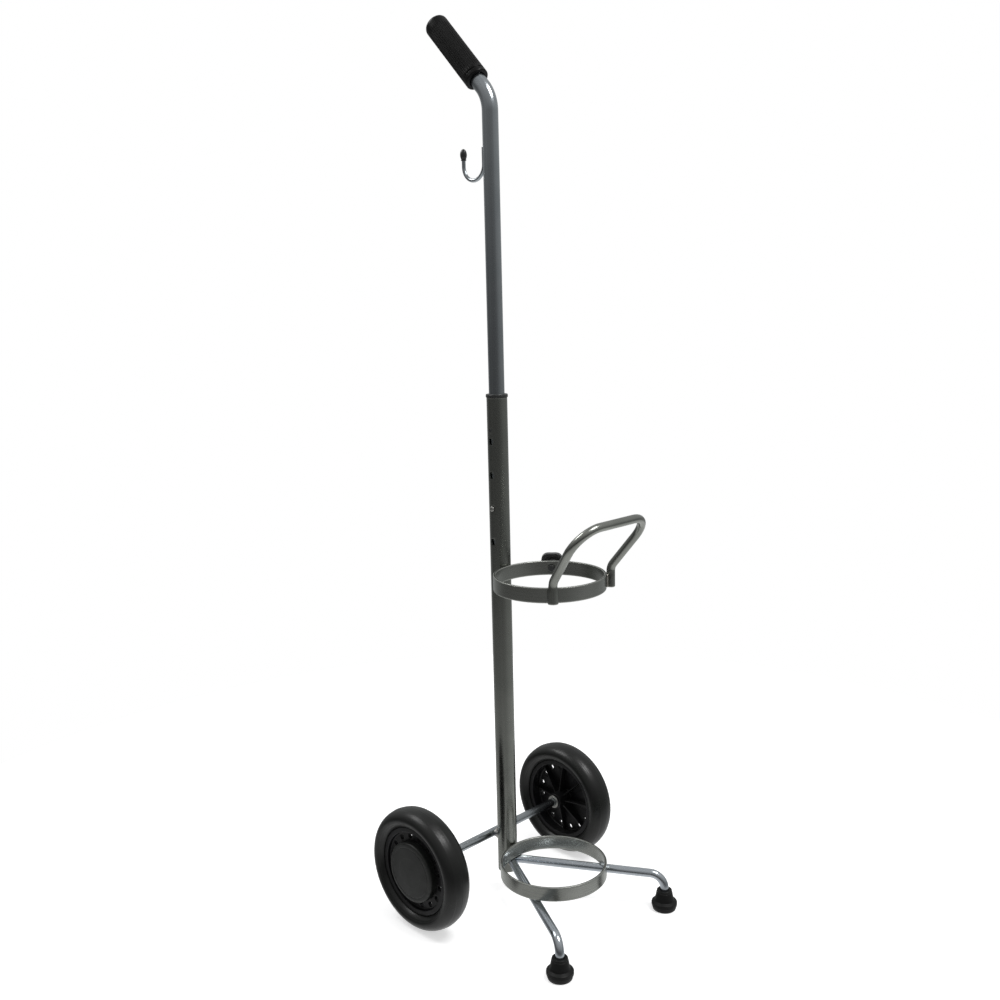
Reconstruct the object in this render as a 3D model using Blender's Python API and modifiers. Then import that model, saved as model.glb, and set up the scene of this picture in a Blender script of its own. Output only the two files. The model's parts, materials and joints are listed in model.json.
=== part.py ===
"""Single-cylinder gas cart: a telescopic pole on two wheels and two rubber-tipped legs, with two rings
that hold a small oxygen cylinder, a lift bail and a clamping thumb screw.

Units are metres. +Z is up, the axle runs along X, and the rings and legs stand in front of the pole, at -Y.
Every position below is measured from the foot of the pole's axis, which POLE_Y places in the part's frame.
"""

import math

import bmesh
import bpy
from mathutils import Vector

# The pole stands this far behind the centre of the part's footprint.
POLE_Y = 0.0413

# Touching pieces keep this gap.
GAP = 0.0003

# Pole: an outer tube, and an inner tube that telescopes in it
OUTER_R = 0.0111
OUTER_WALL = 0.0015
POLE_BOTTOM_Z = 0.0265
POLE_TOP_Z = 0.5715
INNER_R = 0.0084
INNER_WALL = 0.0012
INNER_BOTTOM_Z = 0.4000
BUSHING_R = 0.0118
BUSHING_RISE = 0.0035
BUSHING_BOTTOM_Z = 0.5300
BUSHING_PIP_R = 0.0016
BUSHING_PIP_Z = 0.5370

# Height adjustment: a sprung button in a column of holes on the pole's -X side
BUTTON_Z = 0.4520
HOLE_PITCH = 0.0365
HOLE_STEPS = (-1, 0, 1, 2)
BUTTON_R = 0.0030
BUTTON_PROUD = 0.0018
LEAF_HALF_SPAN = 0.0062
LEAF_THICKNESS = 0.0006
LEAF_WIDTH = 0.0060
LEAF_ABOVE = 0.0100
LEAF_BELOW = 0.0420

# Handle: the inner tube bends back into a grip
BEND_Z = 0.8762
BEND_ANGLE = math.radians(43.5)
BEND_R = 0.0360
GRIP_R = 0.0127
GRIP_START = 0.0245
GRIP_LENGTH = 0.0890
GRIP_END_WALL = 0.0040
GRIP_END_ROUND = 0.0045

# Accessory hook behind the handle
HOOK_WIRE_R = 0.0020
HOOK_BOW_R = 0.0150
HOOK_BOW_Z = 0.8110
HOOK_ROOT_Z = 0.8280
HOOK_CAP_BOTTOM_Z = 0.8155
HOOK_CAP_TOP_Z = 0.8290
HOOK_CAP_R = 0.0036

# Cylinder rings of flat band
BAND_THICKNESS = 0.0025
BAND_HEIGHT = 0.0159
UPPER_RING_R = 0.05715
UPPER_RING_Y = -0.0720
UPPER_RING_TOP_Z = 0.3895
LOWER_RING_R = 0.0565
LOWER_RING_Y = -0.0714
RING_WELD_HALF_WIDTH = 0.0065
RING_WELD_INSET = 0.0020

# Lift bail on the upper ring
BAIL_R = 0.0045
BAIL_FOOT_ANGLE = math.radians(45.0)
BAIL_KNEE_Z = 0.3960
BAIL_TOP_Z = 0.4550
BAIL_TOP_Y = -0.1628
BAIL_HALF_WIDTH = 0.0574
BAIL_KNEE_BEND = 0.0140
BAIL_CORNER_BEND = 0.0270

# Clamp screw through the upper ring; distances run outwards from the ring's centre
CLAMP_ANGLE = math.radians(40.0)
CLAMP_STUD_R = 0.0029
CLAMP_TIP_R = 0.0019
CLAMP_HOLE_R = 0.0034
CLAMP_TRAVEL = 0.0080
CLAMP_NUT_R = 0.00577
CLAMP_NUT_THICKNESS = 0.0050
KNOB_R = 0.0130
KNOB_LOBE = 0.0010
KNOB_LOBES = 4
KNOB_THICKNESS = 0.0095
PAD_R = 0.0036
PAD_THICKNESS = 0.0032

# Axle and wheels
ROD_R = 0.00475
AXLE_Y = 0.0170
WHEEL_R = 0.0680
WHEEL_X = 0.1180
TYRE_SEAT_R = 0.0495
TYRE_HALF_DEPTH = 0.0105
TYRE_HALF_WIDTH = 0.0160
HUB_BORE_R = 0.00505
HUB_SLEEVE_R = 0.0100
HUB_RIM_INNER_R = 0.0430
HUB_RIM_HALF = 0.0095
HUB_WEB_Z = 0.0023
HUB_WEB_THICKNESS = 0.0040
HUB_HOLES = 16
HUB_HOLE_RING_R = 0.0385
HUB_HOLE_R = 0.0033
HUB_RIBS = 8
CAP_R = 0.0335
CAP_FACE_Z = 0.0160
AXLE_END = 0.0116
WASHER_R = 0.0075

# Legs and feet
LEG_Z = 0.0408
LEG_ROOT_Y = -0.0030
FOOT_X = 0.0880
FOOT_Y = -0.1580
LEG_BEND = 0.0160
FOOT_HEIGHT = 0.0230
FOOT_BORE_Z = 0.0060

RIGHT_ANGLE = math.pi / 2
SIDEWAYS = (0, RIGHT_ANGLE, 0)
FULL_TURN = 2 * math.pi
MERGE = 0.00001
TUBE_STEPS = 24
RING_STEPS = 48
WHEEL_STEPS = 32
SMALL_STEPS = 12
CUT_LENGTH = 0.0500
SHORT_CUT = 0.0200


def clear_scene():
    """Removes whatever objects the file opened with."""
    for old in list(bpy.data.objects):
        bpy.data.objects.remove(old, do_unlink=True)


def collection(name):
    """A new collection under the scene's own."""
    made = bpy.data.collections.new(name)
    bpy.context.scene.collection.children.link(made)
    return made


clear_scene()
PARTS = collection("cylinder_cart")
CUTTERS = collection("cutters")
CART = bpy.data.objects.new("cart", None)
CART.location = (0, POLE_Y, 0)
PARTS.objects.link(CART)


def material(name, colour, roughness, metallic=0.0):
    """A Principled material."""
    made = bpy.data.materials.new(name)
    made.use_nodes = True
    shader = made.node_tree.nodes["Principled BSDF"]
    shader.inputs["Base Color"].default_value = (*colour, 1.0)
    shader.inputs["Roughness"].default_value = roughness
    shader.inputs["Metallic"].default_value = metallic
    return made


CHROME = material("chrome", (0.34, 0.35, 0.35), 0.22, 1.0)
BRIGHT_CHROME = material("bright_chrome", (0.52, 0.54, 0.58), 0.16, 1.0)
BAND_STEEL = material("band_steel", (0.42, 0.43, 0.41), 0.30, 1.0)
ZINC = material("zinc", (0.55, 0.55, 0.53), 0.35, 1.0)
SPRING_STEEL = material("spring_steel", (0.30, 0.30, 0.31), 0.35, 1.0)
GRIP_VINYL = material("grip_vinyl", (0.018, 0.018, 0.018), 0.45)
RUBBER = material("rubber", (0.022, 0.024, 0.023), 0.60)
TYRE_RUBBER = material("tyre_rubber", (0.025, 0.026, 0.027), 0.38)
HUB_PLASTIC = material("hub_plastic", (0.014, 0.015, 0.014), 0.45)
CAP_PLASTIC = material("cap_plastic", (0.060, 0.062, 0.060), 0.55)
BLACK_PLASTIC = material("black_plastic", (0.015, 0.015, 0.016), 0.40)


def place(name, mesh, finish, location=(0, 0, 0), rotation=(0, 0, 0), into=PARTS):
    """Puts a mesh on the cart as a named object."""
    made = bpy.data.objects.new(name, mesh)
    into.objects.link(made)
    made.parent = CART
    made.location = location
    made.rotation_euler = rotation
    if finish is not None:
        mesh.materials.clear()
        mesh.materials.append(finish)
    if into is CUTTERS:
        made.hide_render = True
        made.display_type = "WIRE"
    return made


def arc(centre_r, centre_z, radius, start, end, count):
    """Points of a round stretch in a profile, from one angle to another in degrees."""
    points = []
    for i in range(count + 1):
        angle = math.radians(start + (end - start) * i / count)
        points.append((centre_r + radius * math.cos(angle), centre_z + radius * math.sin(angle)))
    return points


def turned(name, profile, steps, finish, location=(0, 0, 0), rotation=(0, 0, 0), closed=True, into=PARTS):
    """Turns a profile of (radius, height) points about the object's Z. It runs down the outer side."""
    mesh = bpy.data.meshes.new(name)
    count = len(profile)
    edges = [(i, i + 1) for i in range(count - 1)]
    if closed:
        edges.append((count - 1, 0))
    mesh.from_pydata([(r, 0, z) for r, z in profile], edges, [])
    made = place(name, mesh, finish, location, rotation, into)
    screw = made.modifiers.new("turn", "SCREW")
    screw.axis = "Z"
    screw.angle = FULL_TURN
    screw.steps = steps
    screw.render_steps = steps
    screw.use_merge_vertices = True
    screw.merge_threshold = MERGE
    screw.use_smooth_shade = True
    weld = made.modifiers.new("poles", "WELD")
    weld.merge_threshold = MERGE
    return made


def pipe(outer, inner, bottom, top):
    """The closed profile of a plain tube."""
    return [(outer, top), (outer, bottom), (inner, bottom), (inner, top)]


def plug(radius, bottom, top):
    """The open profile of a plain solid cylinder, from pole to pole."""
    return [(0, top), (radius, top), (radius, bottom), (0, bottom)]


def cut(target, cutter):
    """Cuts one object's shape out of another."""
    boolean = target.modifiers.new("cut_" + cutter.name, "BOOLEAN")
    boolean.operation = "DIFFERENCE"
    boolean.solver = "EXACT"
    boolean.object = cutter


def join(target, other):
    """Adds one object's shape to another."""
    boolean = target.modifiers.new("join_" + other.name, "BOOLEAN")
    boolean.operation = "UNION"
    boolean.solver = "EXACT"
    boolean.object = other


def drill(name, radius, length, location, rotation=(0, 0, 0), steps=SMALL_STEPS):
    """A round cutter, centred on its location and running along its own Z."""
    half = length / 2
    return turned(name, plug(radius, -half, half), steps, None, location, rotation, closed=False, into=CUTTERS)


def block(name, size, location, rotation=(0, 0, 0), finish=None, into=CUTTERS):
    """A box from its three sizes."""
    mesh = bpy.data.meshes.new(name)
    form = bmesh.new()
    bmesh.ops.create_cube(form, size=1.0)
    bmesh.ops.scale(form, vec=size, verts=form.verts)
    form.to_mesh(mesh)
    form.free()
    return place(name, mesh, finish, location, rotation, into)


def rounded_path(corners, radii, steps):
    """A path through straight runs, with an arc of the given radius at each inner corner."""
    points = [Vector(corners[0])]
    for i, radius in enumerate(radii, start=1):
        corner = Vector(corners[i])
        back = (Vector(corners[i - 1]) - corner).normalized()
        ahead = (Vector(corners[i + 1]) - corner).normalized()
        half = back.angle(ahead) / 2
        centre = corner + (back + ahead).normalized() * (radius / math.sin(half))
        first = corner + back * (radius / math.tan(half)) - centre
        last = corner + ahead * (radius / math.tan(half)) - centre
        sweep = first.angle(last)
        for k in range(steps + 1):
            part = k / steps
            blend = first * math.sin((1 - part) * sweep) + last * math.sin(part * sweep)
            points.append(centre + blend / math.sin(sweep))
    points.append(Vector(corners[-1]))
    return points


def welded_mesh(name, curve):
    """The mesh of a curve, with its caps welded on."""
    guide = bpy.data.objects.new(name + "_guide", curve)
    PARTS.objects.link(guide)
    bpy.context.view_layer.update()
    evaluated = guide.evaluated_get(bpy.context.evaluated_depsgraph_get())
    mesh = bpy.data.meshes.new_from_object(evaluated)
    bpy.data.objects.remove(guide, do_unlink=True)
    form = bmesh.new()
    form.from_mesh(mesh)
    bmesh.ops.remove_doubles(form, verts=form.verts, dist=MERGE)
    bmesh.ops.recalc_face_normals(form, faces=form.faces)
    form.to_mesh(mesh)
    form.free()
    mesh.name = name
    mesh.shade_smooth()
    mesh.set_sharp_from_angle(angle=math.radians(35))
    return mesh


def rod(name, points, radius, finish, resolution=3, capped=True):
    """A round bar swept along a path, as a mesh."""
    curve = bpy.data.curves.new(name + "_path", "CURVE")
    curve.dimensions = "3D"
    curve.bevel_depth = radius
    curve.bevel_resolution = resolution
    curve.use_fill_caps = capped
    spline = curve.splines.new("POLY")
    spline.points.add(len(points) - 1)
    for node, point in zip(spline.points, points):
        node.co = (*point, 1.0)
    return place(name, welded_mesh(name, curve), finish)


def extruded(name, outline, thickness, finish, location=(0, 0, 0), rotation=(0, 0, 0)):
    """A flat outline of (x, y) points, given a thickness along its own Z, as a mesh."""
    curve = bpy.data.curves.new(name + "_outline", "CURVE")
    curve.dimensions = "2D"
    curve.fill_mode = "BOTH"
    curve.extrude = thickness / 2
    spline = curve.splines.new("POLY")
    spline.points.add(len(outline) - 1)
    for node, (x, y) in zip(spline.points, outline):
        node.co = (x, y, 0, 1.0)
    spline.use_cyclic_u = True
    return place(name, welded_mesh(name, curve), finish, location, rotation)


# ---------------------------------------------------------------------------------------------- pole


def build_pole():
    """The outer tube with its adjustment holes, the plug in its foot and the bushing in its mouth."""
    inner_r = OUTER_R - OUTER_WALL
    tube = turned("outer_tube", pipe(OUTER_R, inner_r, POLE_BOTTOM_Z, POLE_TOP_Z), TUBE_STEPS, CHROME)
    for step in HOLE_STEPS:
        height = BUTTON_Z + step * HOLE_PITCH
        name = f"adjustment_hole_{step + 1}"
        cut(tube, drill(name, BUTTON_R + 2 * GAP, OUTER_R, (-OUTER_R, 0, height), SIDEWAYS))
    cut(tube, drill("pip_hole", BUSHING_PIP_R + GAP, OUTER_R, (-OUTER_R, 0, BUSHING_PIP_Z), SIDEWAYS))

    plug_r = inner_r - GAP
    plug_length = 0.0120
    plug_outline = plug(plug_r, POLE_BOTTOM_Z + GAP, POLE_BOTTOM_Z + plug_length)
    turned("pole_end_plug", plug_outline, TUBE_STEPS, BLACK_PLASTIC, closed=False)

    seat = POLE_TOP_Z + GAP
    top = seat + BUSHING_RISE
    sleeve_r = inner_r - GAP
    bore_r = INNER_R + GAP
    edge = 0.0008
    profile = [
        (bore_r, top),
        (BUSHING_R - edge, top),
        (BUSHING_R, top - edge),
        (BUSHING_R, seat),
        (sleeve_r, seat),
        (sleeve_r, BUSHING_BOTTOM_Z),
        (bore_r, BUSHING_BOTTOM_Z),
    ]
    bushing = turned("tube_bushing", profile, TUBE_STEPS, BLACK_PLASTIC)
    pip_length = OUTER_R - bore_r - GAP
    pip_middle = (-bore_r - pip_length / 2, 0, BUSHING_PIP_Z)
    join(bushing, drill("bushing_pip", BUSHING_PIP_R, pip_length, pip_middle, SIDEWAYS))


# -------------------------------------------------------------------------------------------- handle


def along_grip(distance):
    """A point on the grip's axis, at a distance from where it crosses the pole's axis."""
    return (0, distance * math.sin(BEND_ANGLE), BEND_Z + distance * math.cos(BEND_ANGLE))


def build_handle():
    """The bent inner tube, with the grip on its end."""
    tube_end = GRIP_START + GRIP_LENGTH - GRIP_END_WALL - 0.0020
    corners = [(0, 0, INNER_BOTTOM_Z), (0, 0, BEND_Z), along_grip(tube_end)]
    path = rounded_path(corners, [BEND_R], 8)
    tube = rod("inner_tube", path, INNER_R, BRIGHT_CHROME, resolution=6, capped=False)
    wall = tube.modifiers.new("wall", "SOLIDIFY")
    wall.thickness = INNER_WALL
    wall.offset = -1.0
    wall.use_even_offset = True
    hole = drill("button_hole", BUTTON_R + 2 * GAP, INNER_R, (-INNER_R, 0, BUTTON_Z), (0, RIGHT_ANGLE, 0))
    cut(tube, hole)

    bore_r = INNER_R + GAP
    lip = 0.0012
    profile = [(0, GRIP_LENGTH)]
    profile += arc(GRIP_R - GRIP_END_ROUND, GRIP_LENGTH - GRIP_END_ROUND, GRIP_END_ROUND, 90, 0, 4)
    profile += [(GRIP_R, lip), (GRIP_R - lip, 0), (bore_r, 0)]
    profile += [(bore_r, GRIP_LENGTH - GRIP_END_WALL), (0, GRIP_LENGTH - GRIP_END_WALL)]
    tilt = (-BEND_ANGLE, 0, 0)
    turned("grip", profile, TUBE_STEPS, GRIP_VINYL, along_grip(GRIP_START), tilt, closed=False)


def build_hook():
    """The wire hook behind the handle, with the cap on its tip."""
    root_y = INNER_R + GAP + HOOK_WIRE_R
    tip_y = root_y + 2 * HOOK_BOW_R
    tip_z = HOOK_CAP_TOP_Z - 0.0030
    bow = arc(root_y + HOOK_BOW_R, HOOK_BOW_Z, HOOK_BOW_R, 180, 360, 12)
    path = [(0, root_y, HOOK_ROOT_Z)] + [(0, y, z) for y, z in bow] + [(0, tip_y, tip_z)]
    rod("hook_wire", path, HOOK_WIRE_R, BRIGHT_CHROME, resolution=2)

    bore_r = HOOK_WIRE_R + GAP
    middle_z = (HOOK_CAP_BOTTOM_Z + HOOK_CAP_TOP_Z) / 2
    half = (HOOK_CAP_TOP_Z - HOOK_CAP_BOTTOM_Z) / 2
    mouth_angle = -50
    bulb = arc(0, 0, 1, 90, mouth_angle, 6)
    profile = [(0, half)] + [(HOOK_CAP_R * x, half * y) for x, y in bulb[1:]]
    mouth_z = profile[-1][1]
    profile += [(bore_r, mouth_z), (bore_r, tip_z + GAP - middle_z), (0, tip_z + GAP - middle_z)]
    turned("hook_cap", profile, SMALL_STEPS, BLACK_PLASTIC, (0, tip_y, middle_z), closed=False)


def build_snap_button():
    """The button that locks the handle's height, and the leaf spring behind it."""
    shank_start = LEAF_HALF_SPAN + GAP
    dome = 0.0012
    length = OUTER_R + BUTTON_PROUD - shank_start
    profile = [(0, length)]
    profile += [(BUTTON_R * 0.55, length - dome * 0.18), (BUTTON_R * 0.87, length - dome * 0.5)]
    profile += [(BUTTON_R, length - dome), (BUTTON_R, 0), (0, 0)]
    foot = (-shank_start, 0, BUTTON_Z)
    turned("snap_button", profile, SMALL_STEPS, ZINC, foot, (0, -RIGHT_ANGLE, 0), closed=False)

    outer = LEAF_HALF_SPAN
    inner = outer - LEAF_THICKNESS
    top = LEAF_ABOVE
    bow_z = -LEAF_BELOW + outer
    outline = [(-outer, top)]
    outline += arc(0, bow_z, outer, 180, 360, 10)
    outline += [(outer, top), (inner, top)]
    outline += arc(0, bow_z, inner, 360, 180, 10)
    outline += [(-inner, top)]
    extruded("button_spring", outline, LEAF_WIDTH, SPRING_STEEL, (0, 0, BUTTON_Z), (RIGHT_ANGLE, 0, 0))


# --------------------------------------------------------------------------------------------- rings


def band_ring(name, radius, centre_y, top_z):
    """A ring of flat band, standing on edge round the cylinder."""
    edge = 0.0004
    outer = radius + BAND_THICKNESS
    bottom_z = top_z - BAND_HEIGHT
    profile = [
        (outer - edge, top_z),
        (outer, top_z - edge),
        (outer, bottom_z + edge),
        (outer - edge, bottom_z),
        (radius + edge, bottom_z),
        (radius, bottom_z + edge),
        (radius, top_z - edge),
        (radius + edge, top_z),
    ]
    return turned(name, profile, RING_STEPS, BAND_STEEL, (0, centre_y, 0))


def ring_weld(name, radius, centre_y, top_z):
    """The weld metal in the corner between a ring and the pole."""
    height = BAND_HEIGHT - 2 * RING_WELD_INSET
    middle_z = top_z - BAND_HEIGHT / 2
    depth = 0.0090
    size = (2 * RING_WELD_HALF_WIDTH, depth, height)
    weld = block(name, size, (0, -OUTER_R, middle_z), finish=ZINC, into=PARTS)
    space_r = radius + BAND_THICKNESS + GAP
    space_middle = (0, centre_y, middle_z)
    ring_space = drill(name + "_ring_space", space_r, CUT_LENGTH, space_middle, steps=RING_STEPS)
    pole_space = drill(name + "_pole_space", OUTER_R + GAP, CUT_LENGTH, (0, 0, middle_z), steps=TUBE_STEPS)
    cut(weld, ring_space)
    cut(weld, pole_space)


def build_rings():
    """Both rings and their welds. The lower ring stands on the legs."""
    upper = band_ring("upper_ring", UPPER_RING_R, UPPER_RING_Y, UPPER_RING_TOP_Z)
    screw_hole = drill("screw_hole", CLAMP_HOLE_R, SHORT_CUT, clamp_point(UPPER_RING_R), clamp_rotation())
    cut(upper, screw_hole)
    ring_weld("upper_ring_weld", UPPER_RING_R, UPPER_RING_Y, UPPER_RING_TOP_Z)
    lower_top_z = LEG_Z + ROD_R + GAP + BAND_HEIGHT
    band_ring("lower_ring", LOWER_RING_R, LOWER_RING_Y, lower_top_z)
    ring_weld("lower_ring_weld", LOWER_RING_R, LOWER_RING_Y, lower_top_z)


def build_bail():
    """The lift bail, whose two feet are welded outside the upper ring."""
    foot_r = UPPER_RING_R + BAND_THICKNESS + GAP + BAIL_R
    foot_x = foot_r * math.sin(BAIL_FOOT_ANGLE)
    foot_y = UPPER_RING_Y - foot_r * math.cos(BAIL_FOOT_ANGLE)
    foot_z = UPPER_RING_TOP_Z - BAND_HEIGHT + 0.0006
    half = [(foot_x, foot_y, foot_z), (foot_x, foot_y, BAIL_KNEE_Z), (BAIL_HALF_WIDTH, BAIL_TOP_Y, BAIL_TOP_Z)]
    mirrored = [(-x, y, z) for x, y, z in half]
    corners = mirrored + half[::-1]
    bends = [BAIL_KNEE_BEND, BAIL_CORNER_BEND, BAIL_CORNER_BEND, BAIL_KNEE_BEND]
    rod("lift_bail", rounded_path(corners, bends, 5), BAIL_R, CHROME)


# -------------------------------------------------------------------------------------- clamp screw


def clamp_point(distance):
    """A point on the clamp screw's axis, at a distance from the ring's centre."""
    middle_z = UPPER_RING_TOP_Z - BAND_HEIGHT / 2
    x = distance * math.cos(CLAMP_ANGLE)
    y = UPPER_RING_Y + distance * math.sin(CLAMP_ANGLE)
    return (x, y, middle_z)


def clamp_rotation():
    """Turns an object's Z outwards along the clamp screw."""
    return (0, RIGHT_ANGLE, CLAMP_ANGLE)


def knob_outline():
    """The lobed outline of the knob."""
    points = []
    count = KNOB_LOBES * 12
    for i in range(count):
        angle = FULL_TURN * i / count
        radius = KNOB_R - KNOB_LOBE * math.cos(KNOB_LOBES * angle)
        points.append((radius * math.cos(angle), radius * math.sin(angle)))
    return points


def build_clamp():
    """The nut on the ring, and the screw, knob and swivelling pad that run in it."""
    ring_outer = UPPER_RING_R + BAND_THICKNESS
    nut_start = ring_outer + GAP
    nut_end = nut_start + CLAMP_NUT_THICKNESS
    bore_r = CLAMP_STUD_R + 2 * GAP
    place_at = clamp_point(nut_start)
    nut = turned("clamp_nut", plug(CLAMP_NUT_R, 0, CLAMP_NUT_THICKNESS), 6, ZINC, place_at, clamp_rotation(), False)
    cut(nut, drill("nut_bore", bore_r, SHORT_CUT, clamp_point(nut_start), clamp_rotation()))

    pad_start = UPPER_RING_R - GAP - PAD_THICKNESS
    pad_floor = 0.0010
    socket_r = CLAMP_TIP_R + GAP
    edge = 0.0004
    profile = [
        (0, pad_floor),
        (socket_r, pad_floor),
        (socket_r, PAD_THICKNESS),
        (PAD_R, PAD_THICKNESS),
        (PAD_R, edge),
        (PAD_R - edge, 0),
        (0, 0),
    ]
    turned("clamp_pad", profile, SMALL_STEPS, BLACK_PLASTIC, clamp_point(pad_start), clamp_rotation(), False)

    knob_start = nut_end + CLAMP_TRAVEL + 0.0008
    knob_end = knob_start + KNOB_THICKNESS
    tip_start = pad_start + pad_floor + GAP
    tip_length = UPPER_RING_R - tip_start
    stud_end = knob_end - 0.0030
    length = stud_end - tip_start
    stud = plug(CLAMP_STUD_R, tip_length, length)[:3] + [(CLAMP_TIP_R, tip_length), (CLAMP_TIP_R, 0), (0, 0)]
    turned("clamp_screw", stud, SMALL_STEPS, ZINC, clamp_point(tip_start), clamp_rotation(), False)

    knob_middle = (knob_start + knob_end) / 2
    place_at = clamp_point(knob_middle)
    knob = extruded("clamp_knob", knob_outline(), KNOB_THICKNESS, BLACK_PLASTIC, place_at, clamp_rotation())
    depth = stud_end + GAP - knob_start
    cut(knob, drill("knob_bore", CLAMP_STUD_R + GAP, 2 * depth, clamp_point(knob_start), clamp_rotation()))


# -------------------------------------------------------------------------------- axle and wheels


def build_axle():
    """The axle rod across the back of the pole, and the weld block that holds it there."""
    half = WHEEL_X + AXLE_END
    turned("axle", plug(ROD_R, -half, half), TUBE_STEPS, BRIGHT_CHROME, (0, AXLE_Y, WHEEL_R), SIDEWAYS, False)
    size = (0.0180, 0.0080, 0.0130)
    weld = block("axle_weld", size, (0, 0.0118, WHEEL_R), finish=CHROME, into=PARTS)
    cut(weld, drill("axle_space", ROD_R + GAP, CUT_LENGTH, (0, AXLE_Y, WHEEL_R), SIDEWAYS, TUBE_STEPS))
    cut(weld, drill("axle_pole_space", OUTER_R + GAP, CUT_LENGTH, (0, 0, WHEEL_R), steps=TUBE_STEPS))


def tyre_profile():
    """The round section of the tyre, seated on the rim."""
    middle_r = WHEEL_R - TYRE_HALF_DEPTH
    reach = math.acos((TYRE_SEAT_R - middle_r) / TYRE_HALF_DEPTH)
    points = []
    count = 12
    for i in range(count + 1):
        angle = reach * (1 - 2 * i / count)
        points.append((middle_r + TYRE_HALF_DEPTH * math.cos(angle), TYRE_HALF_WIDTH * math.sin(angle)))
    return points


def hub_profile():
    """The hub: a rim, a web near the outer side and a sleeve on the axle."""
    rim_r = TYRE_SEAT_R - GAP
    chamfer = 0.0008
    sleeve_out = 0.0098
    sleeve_in = -0.0175
    web_out = HUB_WEB_Z + HUB_WEB_THICKNESS
    return [
        (HUB_RIM_INNER_R + chamfer, HUB_RIM_HALF),
        (rim_r - chamfer, HUB_RIM_HALF),
        (rim_r, HUB_RIM_HALF - chamfer),
        (rim_r, chamfer - HUB_RIM_HALF),
        (rim_r - chamfer, -HUB_RIM_HALF),
        (HUB_RIM_INNER_R + chamfer, -HUB_RIM_HALF),
        (HUB_RIM_INNER_R, HUB_WEB_Z),
        (HUB_SLEEVE_R, HUB_WEB_Z),
        (HUB_SLEEVE_R - 0.0010, sleeve_in),
        (HUB_BORE_R, sleeve_in),
        (HUB_BORE_R, sleeve_out),
        (HUB_SLEEVE_R - 0.0010, sleeve_out),
        (HUB_SLEEVE_R, web_out),
        (HUB_RIM_INNER_R, web_out),
    ]


def hub_holes(name, centre, rotation):
    """One cutter for the ring of holes through the hub's web."""
    mesh = bpy.data.meshes.new(name)
    form = bmesh.new()
    for i in range(HUB_HOLES):
        angle = FULL_TURN * (i + 0.5) / HUB_HOLES
        made = bmesh.ops.create_cone(
            form,
            cap_ends=True,
            segments=8,
            radius1=HUB_HOLE_R,
            radius2=HUB_HOLE_R,
            depth=4 * HUB_WEB_THICKNESS,
        )
        shift = (HUB_HOLE_RING_R * math.cos(angle), HUB_HOLE_RING_R * math.sin(angle), HUB_WEB_Z)
        bmesh.ops.translate(form, vec=shift, verts=made["verts"])
    form.to_mesh(mesh)
    form.free()
    return place(name, mesh, None, centre, rotation, CUTTERS)


def hub_ribs(name, centre, rotation):
    """One shape for the radial ribs on the hub's inner side, deep at the sleeve and low at the rim."""
    mesh = bpy.data.meshes.new(name)
    form = bmesh.new()
    inner = HUB_SLEEVE_R - 0.0018
    outer = HUB_RIM_INNER_R + 0.0012
    low = -0.0090
    low_at_rim = HUB_WEB_Z - 0.0030
    high = HUB_WEB_Z + 0.0010
    for i in range(HUB_RIBS):
        angle = FULL_TURN * i / HUB_RIBS
        made = bmesh.ops.create_cube(form, size=1.0)
        verts = made["verts"]
        bmesh.ops.scale(form, vec=(outer - inner, 0.0018, high - low), verts=verts)
        bmesh.ops.translate(form, vec=((outer + inner) / 2, 0, (high + low) / 2), verts=verts)
        turn = math.cos(angle), math.sin(angle)
        for vert in verts:
            x, y = vert.co.x, vert.co.y
            if x > (outer + inner) / 2 and vert.co.z < HUB_WEB_Z:
                vert.co.z = low_at_rim
            vert.co.x = x * turn[0] - y * turn[1]
            vert.co.y = x * turn[1] + y * turn[0]
    form.to_mesh(mesh)
    form.free()
    return place(name, mesh, None, centre, rotation, CUTTERS)


def cap_profile():
    """The hub cap: a shallow cup, open towards the web."""
    base = HUB_WEB_Z + HUB_WEB_THICKNESS + GAP
    wall = 0.0015
    dome = 0.0008
    round_r = 0.0016
    shoulder = CAP_FACE_Z - dome
    profile = [(0, CAP_FACE_Z), (CAP_R * 0.55, CAP_FACE_Z - dome * 0.3)]
    profile += arc(CAP_R - round_r, shoulder - round_r, round_r, 90, 0, 3)
    profile += [(CAP_R, base), (CAP_R - wall, base), (CAP_R - wall, shoulder - wall), (0, shoulder - wall)]
    return profile


def push_nut_profile():
    """The domed push nut on the axle's end."""
    return [
        (0, 0.0029),
        (0.0040, 0.0026),
        (0.0062, 0.0014),
        (0.0062, 0.0009),
        (0.0085, 0.0006),
        (0.0085, 0),
        (HUB_BORE_R, 0),
        (HUB_BORE_R, 0.0018),
        (0, 0.0018),
    ]


def build_wheel(side, sign):
    """One wheel on its end of the axle. Its own Z points outwards."""
    centre = (sign * WHEEL_X, AXLE_Y, WHEEL_R)
    rotation = (0, sign * RIGHT_ANGLE, 0)
    turned(f"{side}_tyre", tyre_profile(), WHEEL_STEPS, TYRE_RUBBER, centre, rotation)
    hub = turned(f"{side}_hub", hub_profile(), WHEEL_STEPS, HUB_PLASTIC, centre, rotation)
    join(hub, hub_ribs(f"{side}_hub_ribs", centre, rotation))
    cut(hub, hub_holes(f"{side}_hub_holes", centre, rotation))
    turned(f"{side}_hub_cap", cap_profile(), WHEEL_STEPS, CAP_PLASTIC, centre, rotation, False)
    nut_x = sign * (WHEEL_X + 0.0101)
    turned(f"{side}_push_nut", push_nut_profile(), TUBE_STEPS, ZINC, (nut_x, AXLE_Y, WHEEL_R), rotation, False)
    washer = pipe(WASHER_R, HUB_BORE_R, 0, 0.0022)
    washer_x = sign * (WHEEL_X - 0.0202)
    turned(f"{side}_axle_washer", washer, TUBE_STEPS, ZINC, (washer_x, AXLE_Y, WHEEL_R), rotation)


# ------------------------------------------------------------------------------------ legs and feet


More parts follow.
